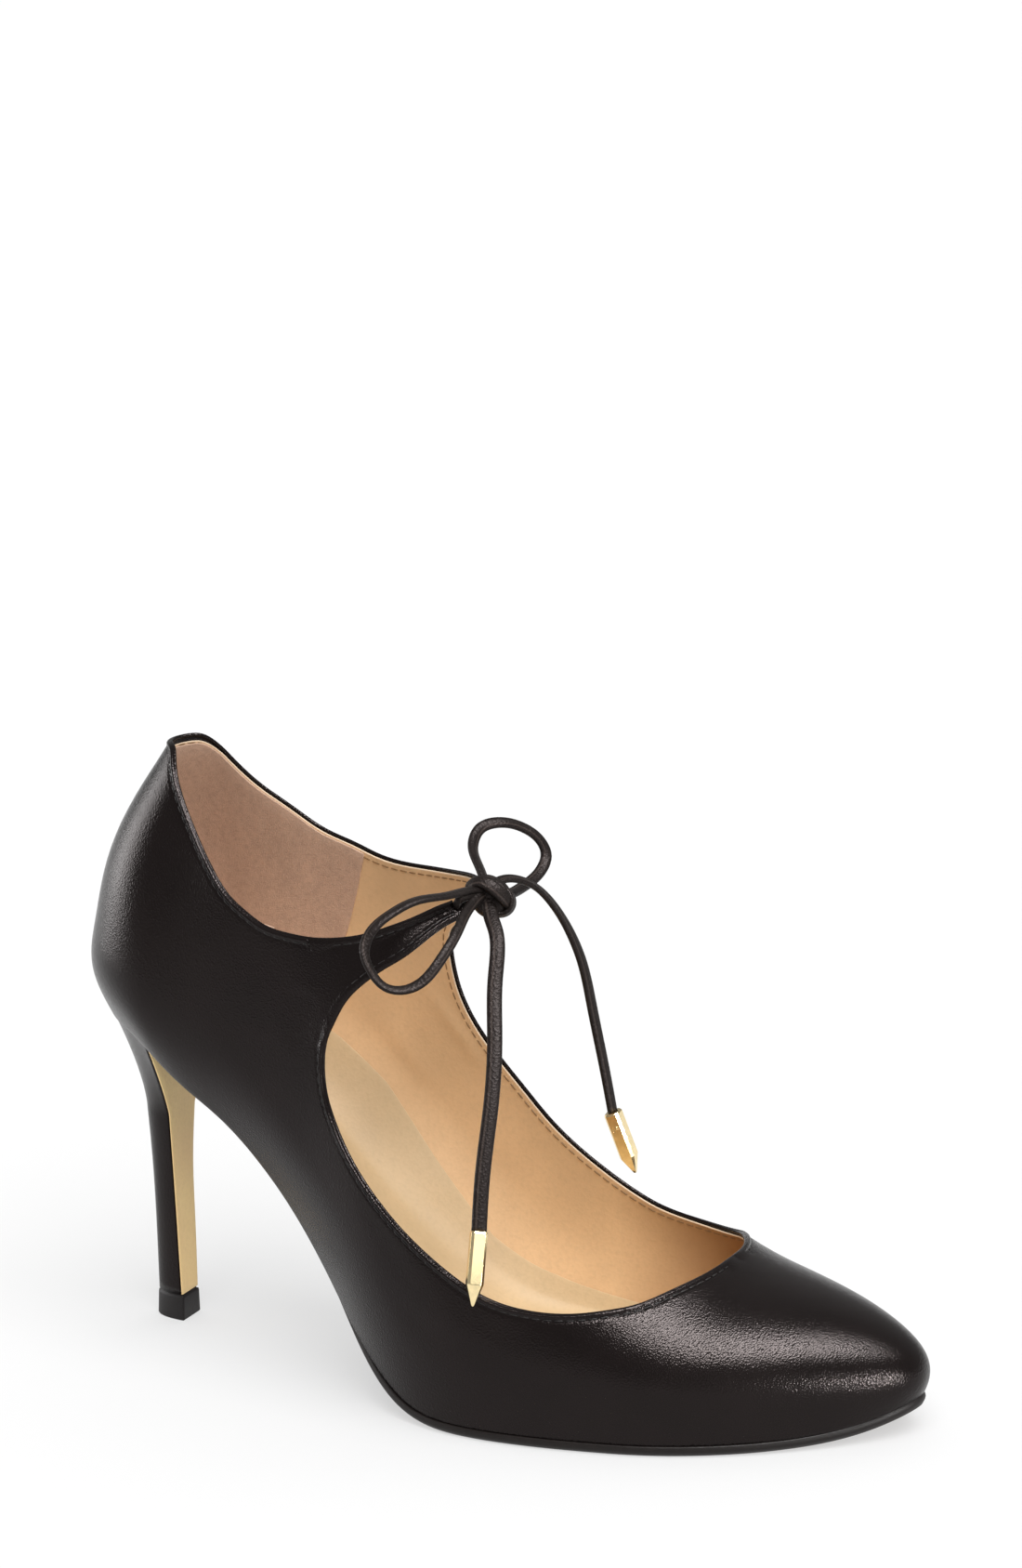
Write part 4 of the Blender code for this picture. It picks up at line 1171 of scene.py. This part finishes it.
# The sock's edge on the inner wall: station and girth; on the outer wall it is lower by a share
SOCK_EDGE = ((0.0, 0.02), (20.0, 0.05), (40.0, 0.13), (53.0, 0.178), (67.0, 0.182), (80.0, 0.137),
             (95.0, 0.10), (111.0, 0.111), (130.0, 0.10), (160.0, 0.075), (200.0, 0.04), (218.5, 0.03))
SOCK_SHARES = {-1: 0.4, 1: 1.0}
SOCK_INSET = 2.9
SOCK_DEPTH = 1.6
SOCK_THICK = 1.5
SOCK_EDGE_THICK = 0.3
SOCK_RIM = 0.15
SOCK_RAISE = 0.1
SOCK_WALL_FOOT = 0.2
SOCK_WALL_ROWS = 9
SOCK_ROWS = 24
SOCK_HEEL_STEPS = 24
SOCK_STEPS = 80
SOCK_TOE_STEPS = 40
SOCK_TOE_SHORT = 3
SOCK_SMOOTHINGS = 3


def sock_sheet(stations):
    """Sheet of the sock and its thickness: flat between the feather lines, its edges climbing the walls.

    On a wall the sheet lies a depth inside the last, up to a share of SOCK_EDGE, and grows thin. The
    corners are rounded by averaging each row with its neighbours.
    """
    edge = np.interp(stations, *np.array(SOCK_EDGE).T)
    walls = {}
    for side, share in SOCK_SHARES.items():
        girth = edge[:, None] * share * np.linspace(SOCK_WALL_FOOT, 1, SOCK_WALL_ROWS)
        params = np.stack([np.broadcast_to(stations[:, None], girth.shape), girth], -1).reshape(-1, 2)
        point, _, _, normal = last_frame(params, side)
        walls[side] = (point - normal * SOCK_DEPTH).reshape(*girth.shape, 3)
    outer, inner = (feather_line(stations, side, np.full_like(stations, -SOCK_INSET)) for side in (-1, 1))
    flat = outer[:, None] + (inner - outer)[:, None] * np.linspace(0, 1, SOCK_ROWS + 1)[None, :, None]
    flat[..., 2] += SOCK_RAISE
    grid = np.concatenate([walls[-1][:, ::-1], flat, walls[1]], 1)
    for _ in range(SOCK_SMOOTHINGS):
        grid[:, 1:-1] = (grid[:, :-2] + 2 * grid[:, 1:-1] + grid[:, 2:]) / 4
    taper = np.linspace(SOCK_EDGE_THICK, SOCK_THICK, SOCK_WALL_ROWS)
    thick = np.concatenate([taper, np.full(SOCK_ROWS + 1, SOCK_THICK), taper[::-1]])
    points, quads, first = weld(grid.reshape(-1, 3), grid_quads(*grid.shape[:2], False))
    return points, quads, np.tile(thick, len(stations))[first]


class PUMP_OT_soles(bpy.types.Operator):
    """Insole and outsole"""

    bl_idname = "pump.soles"
    bl_label = "Soles"

    def execute(self, context):
        colours = context.scene.pump_colours
        start = HEEL_BREAST_STATION + BREAST_FRONT + SOLE_RIM_REACH
        stations = np.concatenate([np.linspace(start, FOREPART, SOLE_STEPS),
                                   toe_stations(FOREPART, SOLE_TOE_STEPS)[1:]])
        forward = soft_step((stations - FORWARD_FROM) / FORWARD_OVER)
        out = -SOLE_WAIST_INSET + (SOLE_PROUD + SOLE_WAIST_INSET) * forward
        out -= SOLE_TOE_INSET * soft_step((stations - TRIM_FROM) / TRIM_OVER) + SOLE_RIM_REACH
        points, quads = sole_sheet(stations, out, SOLE_ROWS)
        forward = soft_step((points[:, 0] - FORWARD_FROM) / FORWARD_OVER)
        points[:, 2] -= GAP
        thick = WAIST_THICK + (SOLE_THICK - WAIST_THICK) * forward
        points, quads = shell(points, quads, 0.0, thick, SOLE_RIM)
        points[:, 2] = np.maximum(points[:, 2], 0.0)
        leather = sole_leather(colours.sole, colours.sole_edge)
        piece = make_piece("sole", points, quads, leather)
        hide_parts("outsole")
        stations = np.concatenate([heel_stations(HEEL_ROUND, SOCK_HEEL_STEPS),
                                   np.linspace(HEEL_ROUND, FOREPART, SOCK_STEPS)[1:],
                                   toe_stations(FOREPART, SOCK_TOE_STEPS)[1:-SOCK_TOE_SHORT]])
        points, quads, thick = sock_sheet(stations)
        points, quads = shell(points, quads, thick, 0.0, round_rim(SOCK_RIM))
        leather = tan_leather("insole leather", colours.insole, 0.5, 0.62)
        piece = make_piece("insole_sock", points, quads, leather)
        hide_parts("insole")
        return {"FINISHED"}


def stem_ring(height, back, breast, half):
    """Level ring of the heel's stem: a half ellipse round the back and a flat breast."""
    turn = np.linspace(-np.pi / 2, np.pi / 2, HEEL_ARC_STEPS + 1)
    arc = np.stack([breast - (breast - back) * np.cos(turn), half * np.sin(turn),
                    np.full_like(turn, height)], -1)
    return close_ring(arc)


def close_ring(arc):
    """Add the straight breast between the ends of an arc."""
    share = np.linspace(0, 1, BREAST_STEPS + 1)[1:-1, None]
    return np.concatenate([arc, arc[-1] + (arc[0] - arc[-1]) * share])


def heel_rings():
    """Rings from the lift to the seat: the stem, then a flare that opens faster at the back.

    In the flare a ring lies between the stem's last ring and the seat's outline: height goes evenly,
    and plan with a power of the height that is lower at the back than at the breast.
    """
    rows = np.array(STEM_ROWS, float)
    heights = np.linspace(rows[0, 0], rows[-1, 0], STEM_RINGS + 1)
    shape = through_spline(rows[:, 0], rows[:, 1:], heights) + (0.0, BREAST_FRONT, 0.0)
    rings = [stem_ring(z, *row) for z, row in zip(heights, shape)]
    stem = rings[-1]
    stations = heel_stations(HEEL_BREAST_STATION + BREAST_FRONT, HEEL_ARC_STEPS // 2)
    inset = np.full_like(stations, -SEAT_INSET)
    arc = np.concatenate([feather_line(stations, -1, inset)[::-1], feather_line(stations, 1, inset)[1:]])
    arc[:, 2] -= GAP
    seat = close_ring(arc)
    turn = np.linspace(-np.pi / 2, np.pi / 2, HEEL_ARC_STEPS + 1)
    power = np.full(len(stem), FLARE_BREAST)
    power[:HEEL_ARC_STEPS + 1] = FLARE_BACK + (FLARE_BREAST - FLARE_BACK) * np.sin(turn) ** 2
    for t in np.linspace(0, 1, FLARE_RINGS + 1)[1:]:
        ring = stem + (seat - stem) * (t ** power)[:, None]
        ring[:, 2] = stem[:, 2] + (seat[:, 2] - stem[:, 2]) * t
        rings.append(ring)
    return np.array(rings)


class PUMP_OT_heel(bpy.types.Operator):
    """Covered heel, its breast and its lift"""

    bl_idname = "pump.heel"
    bl_label = "Heel"

    def execute(self, context):
        colours = context.scene.pump_colours
        rings = heel_rings()
        points, faces = rings_mesh(rings)
        piece = make_piece("heel_cover", points, faces, black_leather(colours.leather))
        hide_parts("heel")
        face = rings[:-1, breast_numbers(rings.shape[1])]
        rise = np.gradient(face, axis=0)
        normal = unit(np.stack([rise[..., 2], np.zeros_like(rise[..., 2]), -rise[..., 0]], -1))
        sheet = (face + normal * (BREAST_GAP + BREAST_THICK)).reshape(-1, 3)
        quads = grid_quads(*face.shape[:2], True)
        points, quads = shell(sheet, quads, 0.0, BREAST_THICK, round_rim(BREAST_RIM, BREAST_RIM_STEPS))
        leather = tan_leather("breast leather", colours.breast, 0.5, 0.62)
        piece = make_piece("heel_breast_cover", points, quads, leather)
        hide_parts("heel_breast")
        _, back, breast, half = STEM_ROWS[0]
        front = breast + BREAST_FRONT + BREAST_GAP + BREAST_THICK + LIFT_FRONT
        rings = np.array([stem_ring(z, back - out, front + out, half + out) for z, out in LIFT_ROWS])
        points, faces = rings_mesh(rings)
        piece = make_piece("lift", points, faces, lift_rubber(colours.lift))
        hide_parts("top_lift")
        return {"FINISHED"}


# The knot's own axes in the shoe: across, up and out
KNOT_AXES = np.array(((0.901, 0.434, 0.0), (-0.115, 0.239, 0.964), (0.418, -0.869, 0.265)))
# The bow's strands: share of the lace's width that shows, route, points in the knot's axes that carry it
# into the knot at its start and at its end, ways in which its flat face looks on the way, and far end
BOW = (
    ("lace_loop_near", 0.76, LOOP_NEAR,
     ((0.3, 0.1, -1.4), (-1.6, 0.7, 1.2)), ((-2.4, -0.6, 3.0), (-0.6, 0.2, 0.6)),
     ((0.3, 1.0, 0.2), (0.2, 1.0, 0.5), (0.4, 0.9, 0.5), (0.5, 0.5, 0.9), (0.5, 0.3, 1.0)), "object"),
    ("lace_loop_far", 0.84, LOOP_FAR,
     ((-0.2, 0.2, -0.6), (-1.2, 2.2, -2.8)), ((1.4, -0.7, -2.6), (0.2, -0.4, -0.4)),
     ((1.0, 0.2, 0.9), (0.7, 0.6, 0.8), (0.4, 0.7, 0.8), (0.3, 0.7, 0.9), (0.2, 0.8, 0.8)), "object"),
    ("lace_end_near", 1.08, END_NEAR, ((-0.8, -0.6, -0.6), (-0.4, -2.9, 2.0)), (),
     ((0.2, 0.2, 1.0), (0.1, 0.3, 1.0), (0.1, 0.2, 1.0)), "fitting"),
    ("lace_end_far", 0.86, END_FAR, ((0.0, 0.6, 0.2), (1.6, 2.5, -1.4)), (),
     ((0.0, 1.0, 0.3), (0.4, 0.8, 0.7), (0.7, 0.2, 0.9), (0.8, 0.1, 0.8)), "fitting"),
)
# The knot's turns in its own axes, over the front, round the right and behind: share of the lace's
# thickness and route; and the fill between them, as a round cord of a multiple of the lace's width
KNOT_TURNS = (
    (1.0, ((-5.2, 1.1, 0.6), (-4.0, 2.2, 2.3), (-2.0, 2.6, 3.2), (0.0, 1.7, 3.7), (2.0, 0.1, 3.5),
           (3.6, -1.6, 2.4), (4.4, -2.9, 0.4), (3.2, -2.4, -2.0), (0.0, 0.0, -3.0), (-3.4, 0.9, -2.0))),
    (0.75, ((4.1, 0.6, 0.2), (5.2, -1.1, 0.8), (5.3, -2.8, 1.0), (4.5, -4.3, 1.0), (2.6, -5.2, 0.8),
            (0.0, -4.9, 0.5), (-2.2, -4.1, 0.3), (-3.5, -2.9, 0.0), (-3.3, -0.8, -1.0),
            (-1.0, 1.2, -1.8), (2.0, 1.6, -1.2))),
    (0.8, ((-2.4, 2.2, -1.4), (-1.4, 3.4, -1.0), (0.2, 3.3, -0.9), (1.8, 2.2, -0.9), (2.2, 0.6, -1.2),
           (0.0, -0.4, -1.6), (-2.2, 0.6, -1.8))),
)
KNOT_FILL = 1.9
KNOT_FILL_ROUTE = ((2.0, -1.4, -0.6), (0.3, 0.4, -0.6), (-1.4, -1.4, -0.6), (0.3, -3.0, -0.6))
KNOT_STEPS = 72


def from_knot(rows):
    """Points in the knot's axes as points of the shoe."""
    return KNOT_CENTRE + np.array(rows, float).reshape(-1, 3) @ KNOT_AXES


def bow_path(route, before, after):
    """Smooth route of a bow's strand, carried into the knot at its start and perhaps at its end."""
    rows = np.concatenate([from_knot(before), np.array(route, float), from_knot(after)])
    return curve_points(rows, int(lengths_along(rows)[-1] / CORD_STEP))


def turning(ways, count):
    """Ways in the knot's axes, spread evenly over count points and blended between."""
    ways = np.array(ways, float) @ KNOT_AXES
    return between(np.linspace(0, len(ways) - 1, count), np.arange(len(ways)), ways)


def closed_curve(rows, steps):
    """Smooth closed curve through rows: a spline over the rows and their neighbours on both sides."""
    rows = np.array(rows, float)
    count = len(rows)
    around = np.concatenate([rows, rows, rows, rows[:1]])
    along = lengths_along(around)
    return through_spline(along, around, np.linspace(along[count], along[2 * count], steps, endpoint=False))


def knot_mesh(wide, thick):
    """Knot as closed turns of lace, each flat towards its own outside, joined in one mesh."""
    turns = [(wide, thick * flat, route) for flat, route in KNOT_TURNS]
    turns.append((wide * KNOT_FILL, wide * KNOT_FILL, KNOT_FILL_ROUTE))
    points, faces, places = [], [], []
    count = 0
    for across, deep, route in turns:
        path = from_knot(closed_curve(route, KNOT_STEPS))
        ring, sides, place = tube(path, across, deep, path - path.mean(0), closed=True)
        points.append(ring)
        faces += [[k + count for k in side] for side in sides]
        places.append(place)
        count += len(ring)
    return np.concatenate(points), faces, np.concatenate(places)


# The lace through the tabs: from the knot into one hole, across under the tabs, and out by the other
LACE_BAR = ((107.4, -1.5, 120.2), (105.6, -6.4, 121.3), (104.4, -9.6, 121.0), (103.4, -9.4, 119.4),
            (102.6, -7.6, 117.6), (101.6, -3.0, 116.9), (101.5, 1.0, 116.9), (102.6, 5.6, 117.7),
            (103.4, 7.0, 119.5), (104.4, 7.2, 121.0), (105.6, 4.8, 121.3), (107.4, 1.0, 120.2))
LACE_BAR_STEPS = 70
LACE_BAR_SIZE = (2.3, 2.0)
LACE_BAR_LOOKS = (1.0, 0.0, 0.3)

# The aglet's outline: share of its length and of its half width
AGLET_ROWS = ((0.0, 0.60), (0.0, 0.86), (0.012, 0.94), (0.03, 1.0), (0.70, 1.0), (0.72, 0.98),
              (0.965, 0.24), (0.985, 0.17), (1.0, 0.0))
# Corners of its blunted square in degrees, and how each aglet is turned on its cord
AGLET_CORNERS = np.array((-34.0, 34.0, 56.0, 124.0, 146.0, 214.0, 236.0, 304.0))
AGLET_TURNS = {"near": -9.0, "far": 27.0}
AGLET_SHARP = 20.0
AGLET_ARRIS = 0.00018
# The set screw: place along the aglet, the face it is in, points round it, and its outline in mm
SCREW_AT = 0.24
SCREW_FACE = {"near": 180.0, "far": 0.0}
SCREW_SIDES = 16
SCREW_ROWS = ((0.86, -0.40), (0.86, 0.03), (0.80, 0.08), (0.74, 0.08), (0.70, -0.25), (0.52, -0.25),
              (0.50, 0.06), (0.44, 0.12), (0.26, 0.12), (0.22, -0.15), (0.0, -0.18))


def lathe_mesh(rings):
    """Quads between rings whose last has shrunk to a point, with a flat cap on the first."""
    levels, sides = rings.shape[:2]
    index = np.arange(levels * sides).reshape(levels, sides)
    points, quads, _ = weld(rings.reshape(-1, 3), ring_quads(index[:-1], index[1:]))
    cap = [int(np.argmin(np.linalg.norm(points - spot, axis=1))) for spot in rings[0]]
    return points, polygons(quads) + [cap[::-1]]


def circle_points(turn, one, two):
    """Points on the unit circle of two square directions at the angles in turn."""
    return np.cos(turn)[..., None] * one + np.sin(turn)[..., None] * two


def make_aglet(which, start, tip, width, material):
    """Square bar with blunted corners, a pyramid tip and a small set screw, in line with its cord."""
    start = np.array(start, float)
    axis = np.array(tip) - start
    length = np.linalg.norm(axis)
    axis /= length
    one = unit(KNOT_AXES[2] - axis * (axis @ KNOT_AXES[2]))
    two = np.cross(axis, one)
    circle = circle_points(np.radians(AGLET_CORNERS + AGLET_TURNS[which]), one, two)
    along, size = (np.array(AGLET_ROWS) * (length, width / 2)).T[..., None, None]
    points, faces = lathe_mesh(start + along * axis + size * circle)
    out = circle_points(np.radians(AGLET_TURNS[which] + SCREW_FACE[which]), one, two)
    turn = np.arange(SCREW_SIDES) * 2 * np.pi / SCREW_SIDES
    circle = circle_points(turn, np.cross(out, axis), axis)
    size, rise = np.array(SCREW_ROWS).T[..., None, None]
    seat = start + axis * length * SCREW_AT + out * width / 2 * np.cos(np.radians(AGLET_CORNERS[1]))
    screw, sides = lathe_mesh(seat + rise * out + size * circle)
    faces += [[k + len(points) for k in side] for side in sides]
    points = np.concatenate([points, screw])
    piece = make_piece("aglet_" + which + "_gilt", points, faces, material)
    piece.data.set_sharp_from_angle(angle=math.radians(AGLET_SHARP))
    bevel = piece.modifiers.new("arris", "BEVEL")
    bevel.width = AGLET_ARRIS
    bevel.segments = 2
    bevel.limit_method = "ANGLE"
    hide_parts("aglet_" + which)
    return piece


class PUMP_OT_lace(bpy.types.Operator):
    """Bow of leather cord with its knot and aglets"""

    bl_idname = "pump.lace"
    bl_label = "Lace"

    def execute(self, context):
        sizes = context.scene.pump_sizes
        colours = context.scene.pump_colours
        wide = sizes.cord / MM
        thick = sizes.cord_thick / MM
        leather = cord_leather(colours.cord)
        gilt = gilt_metal(colours.gilt)
        points, faces, place = knot_mesh(wide, thick)
        knot = make_piece("knot", points, faces, leather, place)
        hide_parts("lace_knot")
        path = curve_points(LACE_BAR, LACE_BAR_STEPS)
        points, faces, place = tube(path, *LACE_BAR_SIZE, LACE_BAR_LOOKS)
        bar = make_piece("lace_through_tabs", points, faces, leather, place)
        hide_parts("lace_bar")
        for name, share, route, before, after, looks, far_end in BOW:
            path = bow_path(route, before, after)
            points, faces, place = tube(path, wide * share, thick * share, turning(looks, len(path)))
            piece = make_piece(name.replace("lace_", "bow_"), points, faces, leather, place)
            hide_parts(name)
            with_pieces = [knot] if name == "lace_loop_near" else []
            if far_end == "fitting":
                which = name.replace("lace_end_", "")
                with_pieces.append(make_aglet(which, route[-1], AGLET_TIPS[which], sizes.aglet / MM, gilt))
        return {"FINISHED"}


# Softboxes, seen by glossy faces only: name, where they stand and look, width and height in metres,
# radiance, and spread in degrees
SOFTBOXES = (
    ("toe_box", (0.63, -0.20, 1.24), (0.06, 0.0, 0.03), 1.0, 0.27, 46.0, 180.0),
    ("counter_strip", (-1.08, -0.08, 0.28), (-0.09, 0.0, 0.09), 0.60, 0.60, 7.5, 180.0),
    ("toe_spark", (1.16, -0.31, 0.06), (0.10, 0.0, 0.016), 0.08, 0.08, 800.0, 12.0),
    ("camera_card", (1.10, -1.14, 0.51), (0.016, -0.04, 0.044), 0.35, 0.35, 1.6, 180.0),
)
# Soft skies: name, bearing, elevation, width of the sky in degrees, and strength
SKIES = (("front_sky", -42.0, 60.0, 60.0, 3.45), ("back_sky", 110.0, 55.0, 80.0, 1.2))
WORLD_LIGHT = 0.32
FLOOR_GLOW = 0.57
FLOOR_REACH = 30.0
CLIP_END = 50.0


def place_lamp(scene, lamp, at, towards):
    """Put a lamp at a place, turned to look at another."""
    light = bpy.data.objects.new(lamp.name, lamp)
    light.location = at
    x, y, z = np.array(towards) - np.array(at)
    light.rotation_euler = (math.atan2(math.hypot(x, y), -z), 0.0, math.atan2(-x, y))
    scene.collection.objects.link(light)
    return light


class PUMP_OT_stage(bpy.types.Operator):
    """Floor, lights and the photograph's camera"""

    bl_idname = "pump.stage"
    bl_label = "Stage"

    def execute(self, context):
        scene = context.scene
        mesh = bpy.data.meshes.new("studio_floor")
        corners = np.array(((-1, -1, 0), (1, -1, 0), (1, 1, 0), (-1, 1, 0)), float) * FLOOR_REACH
        mesh.from_pydata(corners.tolist(), [], [(0, 1, 2, 3)])
        mesh.materials.append(studio_floor())
        floor = bpy.data.objects.new("studio_floor", mesh)
        scene.collection.objects.link(floor)
        world = bpy.data.worlds.new("studio")
        world.use_nodes = True
        background = world.node_tree.nodes["Background"]
        background.inputs["Color"].default_value = (1.0, 1.0, 1.0, 1.0)
        background.inputs["Strength"].default_value = WORLD_LIGHT
        scene.world = world
        for name, at, towards, width, height, radiance, spread in SOFTBOXES:
            lamp = bpy.data.lights.new(name, "AREA")
            lamp.shape = "RECTANGLE"
            lamp.size = width
            lamp.size_y = height
            lamp.spread = math.radians(spread)
            half = lamp.spread / 2
            lamp.energy = radiance * math.pi * width * height * (1 - half / math.tan(half))
            place_lamp(scene, lamp, at, towards).visible_diffuse = False
        for name, bearing, elevation, angle, strength in SKIES:
            sky = bpy.data.lights.new(name, "SUN")
            sky.angle = math.radians(angle)
            sky.energy = strength
            turn, rise = math.radians(bearing), math.radians(elevation)
            at = (math.cos(turn) * math.cos(rise), math.sin(turn) * math.cos(rise), math.sin(rise))
            place_lamp(scene, sky, at, (0.0, 0.0, 0.0)).visible_glossy = False
        lens = bpy.data.cameras.new("photo_camera")
        lens.sensor_fit = "VERTICAL"
        lens.sensor_height = SENSOR
        lens.lens = FOCAL_PIXELS * SENSOR / PHOTO_HEIGHT
        lens.clip_end = CLIP_END
        camera = bpy.data.objects.new("photo_camera", lens)
        camera.location = (CAMERA_AT - ORIGIN) * MM
        camera.rotation_euler = (math.radians(90 - CAMERA_PITCH), 0.0, math.radians(CAMERA_YAW))
        scene.collection.objects.link(camera)
        scene.camera = camera
        scene.view_settings.view_transform = "Standard"
        return {"FINISHED"}


class PUMP_PT_panel(bpy.types.Panel):
    """Makes the pump piece by piece"""

    bl_label = "Cord-tied pump"
    bl_idname = "PUMP_PT_panel"
    bl_space_type = "VIEW_3D"
    bl_region_type = "UI"
    bl_category = "Pump"

    def draw(self, context):
        for group in (context.scene.pump_sizes, context.scene.pump_colours):
            column = self.layout.column()
            for name in group.__annotations__:
                column.prop(group, name)
        for operator in OPERATORS:
            self.layout.operator(operator.bl_idname)


OPERATORS = (PUMP_OT_stage, PUMP_OT_lace, PUMP_OT_upper, PUMP_OT_lining, PUMP_OT_stitches, PUMP_OT_soles,
             PUMP_OT_heel)
CLASSES = (PumpSizes, PumpColours, *OPERATORS, PUMP_PT_panel)


def register():
    """Register the classes and put the settings on the scene."""
    for item in CLASSES:
        bpy.utils.register_class(item)
    bpy.types.Scene.pump_sizes = bpy.props.PointerProperty(type=PumpSizes)
    bpy.types.Scene.pump_colours = bpy.props.PointerProperty(type=PumpColours)


def unregister():
    """Take the settings and the classes away again."""
    del bpy.types.Scene.pump_colours
    del bpy.types.Scene.pump_sizes
    for item in reversed(CLASSES):
        bpy.utils.unregister_class(item)


def main():
    register()
    bpy.ops.pump.stage()
    bpy.ops.pump.lace()
    bpy.ops.pump.upper()
    bpy.ops.pump.lining()
    bpy.ops.pump.stitches()
    bpy.ops.pump.soles()
    bpy.ops.pump.heel()


if __name__ == "__main__":
    main()
